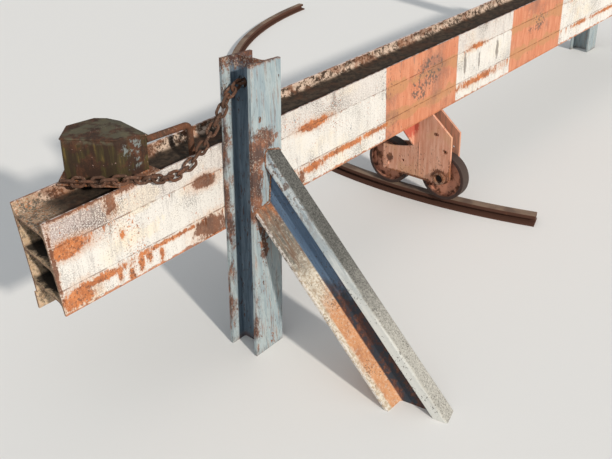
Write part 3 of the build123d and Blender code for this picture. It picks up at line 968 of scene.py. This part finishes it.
@dataclass(frozen=True)
class CarriagePaint(Finish):
    """Salmon paint on the carriage, brushed upright, rusted at its foot and hubs."""

    name: str = "carriage_paint_finish"
    salmon: Colour = (0.58, 0.255, 0.158)
    dusty: Colour = (0.72, 0.410, 0.290)
    tan: Colour = (0.60, 0.33, 0.18)
    deep: Colour = (0.47, 0.075, 0.045)
    hollow: Colour = (0.10, 0.050, 0.033)
    hollow_tan: Colour = (0.23, 0.115, 0.07)
    fresh_blots: tuple[Blot, ...] = (Blot((1.28, 0.172, 0.42), (0.09, 0.022, 0.066), 0.45, 26.0),)
    rust_blots: tuple[Blot, ...] = (
        Blot((1.29, 0.026, 0.176), (0.09, 0.050, 0.034), 0.42, 44.0),
        Blot((1.29, 0.318, 0.200), (0.09, 0.020, 0.026), 0.5, 60.0),
        Blot((1.29, 0.052, 0.387), (0.09, 0.014, 0.009), 0.6, 60.0),
        Blot((1.29, 0.002, 0.311), (0.09, 0.012, 0.013), 0.6, 60.0),
        Blot((1.29, 0.200, 0.133), (0.09, 0.170, 0.009), 0.8, 44.0),
        Blot((1.29, -0.026, 0.200), (0.09, 0.006, 0.060), 0.8, 44.0),
    )

    def build(self) -> bpy.types.Material:
        """Builds the carriage's material.

        Returns:
            The material.
        """
        material, place = self.begin()
        along = place.axis("X")
        drawn = place.upright(0.1).noise(90.0, 6.0, 0.66)
        broad = place.noise(9.0, 4.0, 0.6)
        grain = place.noise(330.0, 3.0, 0.7)
        paint = drawn.step(0.34, 0.7).mix(self.salmon, self.dusty)
        paint = (broad.step(0.5, 0.66) * 0.5).mix(paint, self.tan)
        fresh = self.blots(place, self.fresh_blots)
        paint = (fresh * 0.82).mix(paint, self.deep)
        between = along.step(1.318, 1.3205) * along.step(1.378, 1.3755)
        inner = broad.step(0.4, 0.6).mix(self.hollow, self.hollow_tan)
        paint = (between * 0.9).mix(paint, inner)
        behind = along.step(1.377, 1.3785)
        worn_back = behind * drawn.step(0.42, 0.58)
        paint = (worn_back * 0.5).mix(paint, inner)
        specks = place.upright(0.5).flecks(140.0, 0.31, 7.0)
        rusted = self.blots(place, self.rust_blots) | specks * 0.8
        rust = place.rust(RustTone(0.43))
        colour = (rusted * 0.9).mix(paint, rust)
        relief = grain * 0.3 + drawn * 0.3
        rough = 0.6 + rusted * 0.28
        return self.end(material, colour, relief, rough)


@dataclass(frozen=True)
class BareRust(Finish):
    """Steel with no paint left, in one tone of rust.

    Attributes:
        name: The material's name.
        heat: 0 for black scale, 1 for fresh orange bloom.
        dark: Colour of the scale.
        middle: Colour of old rust.
        bright: Colour of the bloom.
        worn: Colour that rubbing has left on the high places.
        wear: How much of the surface is rubbed.
    """

    name: str = "rust_finish"
    heat: float = 0.45
    dark: Colour = (0.075, 0.040, 0.026)
    middle: Colour = (0.24, 0.095, 0.045)
    bright: Colour = (0.48, 0.19, 0.07)
    worn: Colour = (0.34, 0.23, 0.17)
    wear: float = 0.25

    def build(self) -> bpy.types.Material:
        """Builds the bare steel's material.

        Returns:
            The material.
        """
        material, place = self.begin()
        rust = place.rust(RustTone(self.heat, self.dark, self.middle, self.bright))
        rub = place.flecks(150.0, self.wear * 2.2, 14.0)
        colour = (rub * 0.7).mix(rust, self.worn)
        grain = place.noise(260.0, 4.0, 0.75)
        rough = 0.9 - rub * 0.2
        return self.end(material, colour, grain * 0.8, rough)


@dataclass(frozen=True)
class LockBoxPaint(Finish):
    """Olive paint going brown, with grey-blue left on the near side."""

    name: str = "lock_box_finish"
    olive: Colour = (0.050, 0.037, 0.014)
    brown: Colour = (0.034, 0.020, 0.011)
    yellow: Colour = (0.160, 0.104, 0.028)
    moss: Colour = (0.112, 0.100, 0.066)
    blue: Colour = (0.19, 0.215, 0.205)
    pale_blots: tuple[Blot, ...] = (Blot((-0.352, 0.09, 0.890), (0.040, 0.20, 0.050), 0.5, 40.0),)
    pink: Colour = (0.42, 0.27, 0.23)
    old_rust: RustTone = RustTone(0.4, (0.035, 0.017, 0.011), (0.095, 0.038, 0.02), (0.2, 0.078, 0.032))

    def build(self) -> bpy.types.Material:
        """Builds the lock box's material.

        Returns:
            The material.
        """
        material, place = self.begin()
        drawn = place.upright(0.12).noise(55.0, 5.0, 0.62)
        broad = place.noise(14.0, 4.0, 0.6)
        grain = place.noise(300.0, 3.0, 0.7)
        paint = drawn.step(0.4, 0.56).mix(self.brown, self.olive)
        paint = (drawn.step(0.54, 0.66) * 0.6).mix(paint, self.yellow)
        lid = place.axis("Z").step(0.93, 0.94)
        paint = (lid * 0.7).mix(paint, self.moss)
        rust = place.rust(self.old_rust)
        near = place.axis("Y").step(0.112, 0.1)
        spread = broad + near * 0.1
        paint = (spread.step(0.47, 0.58) * 0.9).mix(paint, rust)
        patches = near * place.noise(44.0, 5.0, 0.7).step(0.515, 0.575)
        patches = patches * self.blots(place, self.pale_blots)
        paint = (patches * 0.85).mix(paint, self.blue)
        fleck = place.flecks(110.0, 0.205, 12.0)
        colour = (fleck * 0.7).mix(paint, self.pink)
        relief = grain * 0.3 + drawn * 0.4
        rough = 0.62 + broad * 0.25
        return self.end(material, colour, relief, rough)


@dataclass(frozen=True)
class WheelIron(Finish):
    """Cast wheel: dark worn tread, red-orange web.

    Attributes:
        name: The material's name.
        centre: The wheel's centre in metres.
    """

    name: str = "wheel_finish"
    centre: Point = (1.348, 0.022, 0.1683)
    paint: Colour = (0.50, 0.225, 0.145)
    tread: Colour = (0.060, 0.042, 0.034)
    rim_dark: Colour = (0.028, 0.02, 0.02)
    rim_brown: Colour = (0.085, 0.045, 0.032)

    def build(self) -> bpy.types.Material:
        """Builds the wheel's material.

        Returns:
            The material.
        """
        material, place = self.begin()
        flat = place.vector("SUBTRACT", self.centre).vector("MULTIPLY", (0.0, 1.0, 1.0))
        radius = flat.vector("LENGTH", output="Value")
        broad = place.noise(24.0, 5.0, 0.65)
        grain = place.noise(280.0, 4.0, 0.75)
        rust = place.rust(RustTone(0.42))
        web = broad.step(0.4, 0.54).mix(rust, self.paint)
        dark = grain.step(0.35, 0.7).mix(self.rim_dark, self.rim_brown)
        colour = radius.step(0.098, 0.106).mix(web, dark)
        colour = (radius.step(0.1185, 0.1196) * 0.75).mix(colour, self.tread)
        relief = grain * 0.5 + broad * 0.4
        rough = 0.86 - radius.step(0.1185, 0.1196) * 0.3
        return self.end(material, colour, relief, rough)


@dataclass(frozen=True)
class RailSteel(Finish):
    """Old rail: dark web and foot, a paler rubbed head."""

    name: str = "rail_finish"
    head_z: float = 0.048
    head: Colour = (0.27, 0.19, 0.135)
    head_dark: Colour = (0.15, 0.1, 0.075)
    bloom: Colour = (0.34, 0.15, 0.08)

    def build(self) -> bpy.types.Material:
        """Builds the rail's material.

        Returns:
            The material.
        """
        material, place = self.begin()
        rust = place.rust(RustTone(0.3, bright=self.bloom))
        grain = place.noise(220.0, 4.0, 0.72)
        broad = place.noise(8.0, 4.0, 0.6)
        crown = place.axis("Z").step(self.head_z - 0.0016, self.head_z - 0.0002)
        head = broad.step(0.4, 0.62).mix(self.head, self.head_dark)
        colour = (crown * 0.85).mix(rust, head)
        relief = grain * 0.4 + broad * 0.3
        rough = 0.9 - crown * 0.2
        return self.end(material, colour, relief, rough)


# Shaping of pieces


@dataclass
class Softener:
    """Rebuilds a hard-edged node with rounded, slightly uneven edges.

    Attributes:
        edge: Radius of the rounded edges in metres.
        segments: Facets across each rounded edge.
        wave: How far old damage moves the surface, in metres.
        cell: Longest edge left before the surface is moved, or 0 to leave it straight.
    """

    edge: float = 0.0022
    segments: int = 2
    wave: float = 0.0
    cell: float = 0.0

    def make(self, node: str, body: Body, finish: bpy.types.Material, slot: Slot) -> bpy.types.Object:
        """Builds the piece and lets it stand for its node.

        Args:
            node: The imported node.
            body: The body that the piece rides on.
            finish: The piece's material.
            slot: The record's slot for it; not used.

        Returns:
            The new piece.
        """
        shape = bmesh.new()
        shape.from_mesh(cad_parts[node].data)
        bmesh.ops.remove_doubles(shape, verts=shape.verts, dist=SAME_PLACE)
        bmesh.ops.dissolve_limit(
            shape, angle_limit=FLAT_EDGE, verts=shape.verts, edges=shape.edges, delimit={"NORMAL"}
        )
        hard = [edge for edge in shape.edges if edge.is_manifold and edge.calc_face_angle(0.0) > HARD_EDGE]
        bmesh.ops.bevel(
            shape, geom=hard, offset=self.edge, offset_type="OFFSET", segments=self.segments, profile=0.5,
            affect="EDGES", clamp_overlap=True, material=-1,
        )
        if self.cell:
            self.roughen(shape)
        bmesh.ops.recalc_face_normals(shape, faces=shape.faces)
        return finish_piece(shape, node + "_worn", body, finish, (node,))

    def roughen(self, shape: bmesh.types.BMesh) -> None:
        """Cuts the long edges up and moves the surface by smooth noise.

        Args:
            shape: The bmesh that is cut up and moved.
        """
        bmesh.ops.triangulate(shape, faces=[face for face in shape.faces if len(face.verts) > 4])
        for edge_cuts in CUTS:
            picked = [
                edge for edge in shape.edges
                if self.cell * edge_cuts < edge.calc_length() <= self.cell * (2 * edge_cuts + 1)
            ]
            if picked:
                bmesh.ops.subdivide_edges(shape, edges=picked, cuts=edge_cuts, use_grid_fill=True)
        low = [min(vert.co[axis] for vert in shape.verts) for axis in range(3)]
        high = [max(vert.co[axis] for vert in shape.verts) for axis in range(3)]
        for vert in shape.verts:
            place = vert.co * DENTS_PER_METRE
            push = Vector([noise.noise(place + shift) for shift in DENT_SHIFTS])
            moved = vert.co + push * self.wave
            vert.co = [min(max(moved[axis], low[axis]), high[axis]) for axis in range(3)]


def finish_piece(
    shape: bmesh.types.BMesh,
    name: str,
    body: Body,
    finish: bpy.types.Material,
    stands_for: Sequence[str] = (),
) -> bpy.types.Object:
    """Turns a bmesh into a piece on its body.

    Args:
        shape: The bmesh, which is freed.
        name: The piece's name.
        body: The body that it rides on.
        finish: Its material.
        stands_for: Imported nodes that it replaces.

    Returns:
        The new piece.
    """
    mesh = bpy.data.meshes.new(name)
    shape.to_mesh(mesh)
    shape.free()
    mesh.materials.append(finish)
    piece = bpy.data.objects.new(name, mesh)
    bpy.context.scene.collection.objects.link(piece)
    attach(piece, body.value)
    if stands_for:
        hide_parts(*stands_for)
    log.info("piece %s: %d faces on %s", name, len(mesh.polygons), body.value)
    return piece


@dataclass
class WeldBead:
    """A rippled weld run along a line of points.

    Attributes:
        radius: Its mean radius in metres.
        pitch: Distance from one ripple to the next.
        sides: Corners of its section.
    mean: Usual share of the radius.
    ripple: How much the ripples change that share.
    turn: Angle of the ripple from one section to the next, in radians.
    wander: How much noise changes that share.
    grain: How fine the noise is.
    end: Share of the radius where the run starts and stops.
    """

    radius: float
    pitch: float = 0.006
    sides: int = 6
    mean: float = 0.82
    ripple: float = 0.22
    turn: float = 2.4
    wander: float = 0.16
    grain: float = 300.0
    end: float = 0.5

    def lay(self, shape: bmesh.types.BMesh, start: Point, stop: Point) -> None:
        """Adds one straight run to a bmesh.

        Args:
            shape: The bmesh that takes the run.
            start: Where it starts.
            stop: Where it stops.
        """
        first, last = Vector(start), Vector(stop)
        count = max(2, int((last - first).length / self.pitch))
        turn = (last - first).to_track_quat("Z", "Y").to_matrix().to_4x4()
        ring = bmesh.ops.create_circle(
            shape, cap_ends=True, radius=self.radius * self.end, segments=self.sides,
            matrix=Matrix.Translation(first) @ turn,
        )["verts"]
        face = next(iter(set(ring[0].link_faces)))
        for index in range(1, count + 1):
            made = bmesh.ops.extrude_face_region(shape, geom=[face])["geom"]
            bmesh.ops.delete(shape, geom=[face], context="FACES_ONLY")
            face = next(item for item in made if isinstance(item, bmesh.types.BMFace))
            place = first.lerp(last, index / count)
            share = self.end
            if index < count:
                share = self.mean + self.ripple * math.sin(index * self.turn)
                share += self.wander * noise.noise(place * self.grain)
            middle = face.calc_center_median()
            for vert in face.verts:
                vert.co = place + (vert.co - middle).normalized() * self.radius * share


def weld(
    name: str,
    runs: Sequence[tuple[Point, Point]],
    body: Body,
    finish: bpy.types.Material,
    radius: float,
) -> bpy.types.Object:
    """Lays several weld runs as one piece.

    Args:
        name: The piece's name.
        runs: Start and stop of each run.
        body: The body that it rides on.
        finish: Its material.
        radius: The bead's radius in metres.

    Returns:
        The new piece.
    """
    shape = bmesh.new()
    bead = WeldBead(radius=radius)
    for start, stop in runs:
        bead.lay(shape, start, stop)
    bmesh.ops.recalc_face_normals(shape, faces=shape.faces)
    return finish_piece(shape, name, body, finish)


def paint_node(node: str, finish: bpy.types.Material) -> None:
    """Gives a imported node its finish.

    Args:
        node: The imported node.
        finish: Its new material.
    """
    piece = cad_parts[node]
    piece.data.materials.clear()
    piece.data.materials.append(finish)
    log.info("node %s: %s", node, finish.name)


# Sub-assemblies


@dataclass
class StopBeam:
    """The three stacked sections of the beam.

    Attributes:
        rows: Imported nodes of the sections.
        web_levels: Heights of their webs.
        web_half: Half the thickness of a web.
        face_reach: How far a root fillet runs over the web.
        rise: How far it climbs the flange.
        root_y: Where the flange faces meet the webs, near and far.
        tip_y: Where the fillets end on the flange faces.
        steps: Facets of one fillet.
        sunk: How deep the fillets' backs lie in the flanges.
        bed: How deep they lie in the webs.
        lap: How far their edges lap into the webs.
        span: Where the fillets start and stop along the beam, before the sawn end is cut.
        saw_back: How far the fillets stay behind the sawn end.
        near_end: Corners before this place belong to the sawn end.
        paint: The beam's finish.
    """

    rows: tuple[str, ...] = ("beam_lower", "beam_middle", "beam_upper")
    web_levels: tuple[float, ...] = (0.526, 0.644, 0.762)
    web_half: float = 0.0045
    face_reach: float = 0.026
    rise: float = 0.028
    root_y: tuple[float, float] = (0.0885, 0.2655)
    tip_y: tuple[float, float] = (0.0862, 0.2678)
    steps: int = 6
    sunk: float = 0.004
    bed: float = 0.002
    lap: float = 0.0004
    span: tuple[float, float] = (-0.72, 4.206)
    saw_back: float = 0.0015
    near_end: float = -0.6
    paint: BarrierPaint = field(default_factory=BarrierPaint)

    def end_plane(self) -> tuple[Vector, Vector]:
        """Finds the sawn near end.

        Returns:
            A point of it and its outward normal.
        """
        ends = [vert.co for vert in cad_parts["beam_upper"].data.vertices if vert.co.x < self.near_end]
        low = min(ends, key=lambda place: place.y + place.z)
        high = min(ends, key=lambda place: place.y - place.z)
        far = min(ends, key=lambda place: place.z - place.y)
        normal = (high - low).cross(far - low).normalized()
        return low, normal if normal.x < 0.0 else -normal

    def fillet_section(self, side: int, inward: float, level: float, up: float) -> Section:
        """The outline of one fillet across the beam.

        Args:
            side: 0 for the near flange, 1 for the far one.
            inward: 1 where the beam's inside is at larger y, else -1.
            level: Height of the web.
            up: 1 for a fillet over the web, -1 for one under it.

        Returns:
            Places across the beam and heights.
        """
        section = [(self.root_y[side] - self.sunk * inward, level + up * (self.web_half - self.bed))]
        for step in range(self.steps + 1):
            angle = math.radians(90.0) * step / self.steps
            out = (self.face_reach + self.bed) * (1.0 - math.cos(angle))
            climb = self.web_half + self.rise * (1.0 - math.sin(angle)) - self.lap
            section.append((self.tip_y[side] + inward * out, level + up * climb))
        return tuple(section)

    def fillets(self, finish: bpy.types.Material) -> None:
        """Adds the rolled fillets between the webs and the flanges.

        Args:
            finish: The beam's material.
        """
        shape = bmesh.new()
        start, stop = self.span
        for level, (side, inward), up in product(self.web_levels, ((0, 1.0), (1, -1.0)), (1.0, -1.0)):
            section = self.fillet_section(side, inward, level, up)
            face = shape.faces.new([shape.verts.new((start, across, height)) for across, height in section])
            made = bmesh.ops.extrude_face_region(shape, geom=[face])["geom"]
            moved = [item for item in made if isinstance(item, bmesh.types.BMVert)]
            bmesh.ops.translate(shape, verts=moved, vec=(stop - start, 0.0, 0.0))
        bmesh.ops.recalc_face_normals(shape, faces=shape.faces)
        point, normal = self.end_plane()
        cut = bmesh.ops.bisect_plane(
            shape, geom=[*shape.verts, *shape.edges, *shape.faces], plane_co=point - normal * self.saw_back,
            plane_no=normal, clear_outer=True,
        )["geom_cut"]
        bmesh.ops.holes_fill(shape, edges=[item for item in cut if isinstance(item, bmesh.types.BMEdge)])
        bmesh.ops.recalc_face_normals(shape, faces=shape.faces)
        finish_piece(shape, "beam_root_fillets", Body.BEAM, finish)

    def build(self) -> None:
        """Builds the beam's pieces."""
        finish = self.paint.build()
        softener = Softener(edge=0.0022, segments=2, wave=0.0009, cell=0.06)
        for row in self.rows:
            softener.make(row, Body.BEAM, finish, Slot.BARRIER)
        self.fillets(finish)
        paint_node("beam_end_tab", finish)


@dataclass
class Posts:
    """The stop post, its raking strut and the pivot post.

    Attributes:
        post: Finish of both posts.
        strut: Finish of the strut.
        joint: Corners of the strut's section where it is welded on, across and above its crown.
        face_y: The post's front face.
    """

    post: PostPaint = field(default_factory=PostPaint)
    strut: RakerPaint = field(default_factory=RakerPaint)
    joint: Section = (
        (-0.078, -0.160), (-0.081, -0.149), (-0.040, -0.139), (-0.012, -0.128),
        (-0.009, -0.060), (-0.036, -0.041), (-0.038, -0.010), (-0.030, 0.001),
        (0.030, 0.001), (0.038, -0.010), (0.036, -0.041), (0.009, -0.060),
        (0.012, -0.128), (0.040, -0.139), (0.081, -0.149), (0.078, -0.160),
    )
    face_y: float = -0.071

    def joint_points(self) -> list[Point]:
        """Lays the strut's section on the post's front face.

        Returns:
            The weld's corners.
        """
        down, side, above = self.strut.directions()
        points = []
        for across, height in self.joint:
            corner = Vector(self.strut.crown_place) + side * across + above * height
            points.append(tuple(corner + down * ((self.face_y - corner.y) / down.y)))
        return points

    def build(self, rust: bpy.types.Material) -> None:
        """Builds the posts' pieces.

        Args:
            rust: Material of the strut's weld.
        """
        paint = self.post.build()
        softener = Softener(edge=0.0020, segments=2, wave=0.0008, cell=0.06)
        softener.make("stop_post", Body.ROOT, paint, Slot.POST)
        softener.make("pivot_post", Body.ROOT, paint, Slot.POST)
        softener.make("raker", Body.ROOT, self.strut.build(), Slot.RAKER)
        points = self.joint_points()
        weld("strut_weld", list(zip(points, points[1:])), Body.ROOT, rust, radius=0.0042)
        for node in ("pivot_lug_lower", "pivot_lug_upper"):
            Softener(edge=0.0015).make(node, Body.ROOT, paint, Slot.POST)


@dataclass
class Carriage:
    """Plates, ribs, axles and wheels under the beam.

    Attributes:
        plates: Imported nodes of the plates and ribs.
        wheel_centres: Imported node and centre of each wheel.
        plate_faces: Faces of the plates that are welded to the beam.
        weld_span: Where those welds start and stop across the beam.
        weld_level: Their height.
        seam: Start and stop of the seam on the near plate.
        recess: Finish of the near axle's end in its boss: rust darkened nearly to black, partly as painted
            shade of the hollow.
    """

    plates: tuple[str, ...] = (
        "carriage_front_plate", "carriage_back_plate", "carriage_front_rib", "carriage_back_rib",
    )
    wheel_centres: tuple[tuple[str, Point], ...] = (
        ("wheel_near", (1.348, 0.022, 0.1683)),
        ("wheel_far", (1.348, 0.338, 0.1683)),
    )
    plate_faces: tuple[float, ...] = (1.304, 1.318, 1.378, 1.392)
    weld_span: tuple[float, float] = (0.130, 0.225)
    weld_level: float = 0.4795
    seam: tuple[Point, Point] = ((1.3044, 0.146, 0.325), (1.3044, 0.142, 0.140))
    # Nearly black: partly rust, partly painted shade of the boss's hollow
    recess: BareRust = BareRust(name="recess_finish", heat=0.16, dark=(0.016, 0.012, 0.010), wear=0.0)

    def build(self, rust: bpy.types.Material) -> None:
        """Builds the carriage's pieces.

        Args:
            rust: Material of the axle's boss.
        """
        paint = CarriagePaint().build()
        softener = Softener(edge=0.0020, segments=2)
        for node in self.plates:
            softener.make(node, Body.BEAM, paint, Slot.CARRIAGE)
        near, far = self.weld_span
        runs = [((face, near, self.weld_level), (face, far, self.weld_level)) for face in self.plate_faces]
        weld("carriage_welds", runs, Body.BEAM, paint, radius=0.0040)
        weld("plate_seam", [self.seam], Body.BEAM, paint, radius=0.0018)
        paint_node("axle_near", self.recess.build())
        paint_node("axle_boss", rust)
        paint_node("axle_far", paint)
        for node, centre in self.wheel_centres:
            paint_node(node, WheelIron(name=node + "_finish", centre=centre).build())


@dataclass
class LockGear:
    """Lock box, its base and lid, the handle and the chain.

    Attributes:
        foot_level: Height of the weld round the box's foot.
        foot_corners: Its corners along and across the beam.
        handle: Finish of the grab handle.
        chain: Finish of the chain.
        chain_nodes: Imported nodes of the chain.
    """

    foot_level: float = 0.814
    foot_corners: Section = (
        (-0.415, 0.099), (-0.302, 0.099), (-0.302, 0.230), (-0.350, 0.300), (-0.440, 0.318), (-0.511, 0.250),
    )
    handle: BareRust = BareRust(
        "handle_finish", 0.42, middle=(0.145, 0.057, 0.029), bright=(0.27, 0.108, 0.048),
        worn=(0.28, 0.165, 0.115), wear=0.16,
    )
    chain: BareRust = BareRust(
        "chain_finish", 0.41, middle=(0.125, 0.055, 0.032), bright=(0.25, 0.110, 0.058),
        worn=(0.22, 0.135, 0.095), wear=0.18,
    )
    chain_nodes: tuple[str, ...] = ("chain_post_run", "chain_box_run", "chain_toggle")

    def build(self, rust: bpy.types.Material) -> None:
        """Builds the locking gear's pieces.

        Args:
            rust: Material of the box's base and weld.
        """
        box = LockBoxPaint().build()
        softener = Softener(edge=0.0025, segments=2)
        softener.make("lock_box", Body.BEAM, box, Slot.BOX)
        softener.make("lock_box_lid", Body.BEAM, box, Slot.BOX)
        softener.make("lock_box_base", Body.BEAM, rust, Slot.RUST)
        corners = [(along, across, self.foot_level) for along, across in self.foot_corners]
        runs = list(zip(corners, corners[1:] + corners[:1]))
        weld("box_foot_weld", runs, Body.BEAM, rust, radius=0.0035)
        paint_node("grab_handle", self.handle.build())
        chain = self.chain.build()
        for node in self.chain_nodes:
            paint_node(node, chain)


@dataclass
class Surroundings:
    """Floor, lamps and the camera at the photograph's place.

    Attributes:
        place: The camera's place in metres.
        right: Its direction to the right.
        up: Its direction upwards.
        forward: The direction that it looks in.
        focal_px: Focal length in pixels of the photograph.
        picture_width: Width of the photograph in pixels.
        sensor: Width of the camera's sensor in millimetres.
        clip_end: How far the camera sees.
        floor_size: Half the floor's width.
        floor_colour: The floor's colour.
        floor_rough: The floor's roughness.
        sky_colour: The sky's colour.
        sky_strength: The sky's strength.
        lamps: Name, direction, strength, spread in degrees and colour of each sun lamp.
    """

    place: Point = (-1.63199, -1.76897, 1.86767)
    right: Point = (0.65694342, -0.75299064, -0.03782127)
    up: Point = (0.39904287, 0.3047048, 0.86482355)
    forward: Point = (0.63967971, 0.58323244, -0.50064936)
    focal_px: float = 782.72
    picture_width: float = 612.0
    sensor: float = 36.0
    clip_end: float = 60.0
    floor_size: float = 30.0
    floor_colour: Colour = (0.80, 0.79, 0.77)
    floor_rough: float = 0.9
    sky_colour: Colour = (0.90, 0.95, 1.0)
    sky_strength: float = 0.42
    lamps: tuple[tuple[str, Point, float, float, Colour], ...] = (
        ("key", (0.23, 0.88, -0.42), 3.2, 2.6, (1.0, 0.94, 0.86)),
        ("fill", (0.45, 0.30, -0.84), 0.45, 70.0, (0.92, 0.96, 1.0)),
    )

    def camera(self) -> None:
        """Builds the camera."""
        data = bpy.data.cameras.new("camera")
        data.sensor_width = self.sensor
        data.lens = self.focal_px / self.picture_width * self.sensor
        data.clip_end = self.clip_end
        holder = bpy.data.objects.new("camera", data)
        turn = Matrix((Vector(self.right), Vector(self.up), -Vector(self.forward))).transposed().to_4x4()
        holder.matrix_world = Matrix.Translation(Vector(self.place)) @ turn
        bpy.context.scene.collection.objects.link(holder)
        bpy.context.scene.camera = holder

    def lamp(self, name: str, direction: Point, strength: float, spread: float, colour: Colour) -> None:
        """Adds one soft sun lamp that shines along a direction.

        Args:
            name: The lamp's name.
            direction: Where its light goes.
            strength: Its strength.
            spread: Its angle in degrees.
            colour: Its colour.
        """
        data = bpy.data.lights.new(name, "SUN")
        data.energy = strength
        data.angle = math.radians(spread)
        data.color = colour
        holder = bpy.data.objects.new(name, data)
        holder.matrix_world = Vector(direction).to_track_quat("-Z", "Y").to_matrix().to_4x4()
        bpy.context.scene.collection.objects.link(holder)

    def floor(self) -> None:
        """Builds the pale floor."""
        shape = bmesh.new()
        bmesh.ops.create_grid(shape, x_segments=1, y_segments=1, size=self.floor_size)
        mesh = bpy.data.meshes.new("floor")
        shape.to_mesh(mesh)
        shape.free()
        material = bpy.data.materials.new("floor_finish")
        material.use_nodes = True
        shader = material.node_tree.nodes["Principled BSDF"]
        shader.inputs["Base Color"].default_value = (*self.floor_colour, 1.0)
        shader.inputs["Roughness"].default_value = self.floor_rough
        mesh.materials.append(material)
        piece = bpy.data.objects.new("floor", mesh)
        bpy.context.scene.collection.objects.link(piece)

    def world(self) -> None:
        """Sets an even pale sky."""
        sky = bpy.data.worlds.new("studio")
        sky.use_nodes = True
        shade = sky.node_tree.nodes["Background"]
        shade.inputs["Color"].default_value = (*self.sky_colour, 1.0)
        shade.inputs["Strength"].default_value = self.sky_strength
        bpy.context.scene.world = sky

    def build(self) -> None:
        """Builds everything round the object."""
        self.camera()
        self.floor()
        self.world()
        for lamp in self.lamps:
            self.lamp(*lamp)
        bpy.context.scene.view_settings.view_transform = "Standard"


def main() -> None:
    """Builds every sub-assembly in order."""
    logging.basicConfig(level=logging.INFO, format="%(message)s")
    SharedEffects().build()
    rust = BareRust().build()
    StopBeam().build()
    Posts().build(rust)
    Carriage().build(rust)
    LockGear().build(rust)
    for node in ("hinge_strap_lower", "hinge_strap_upper"):
        Softener(edge=0.0015).make(node, Body.BEAM, rust, Slot.RUST)
    paint_node("pivot_pin", rust)
    paint_node("curved_rail", RailSteel().build())
    Surroundings().build()


if __name__ == "__main__":
    main()
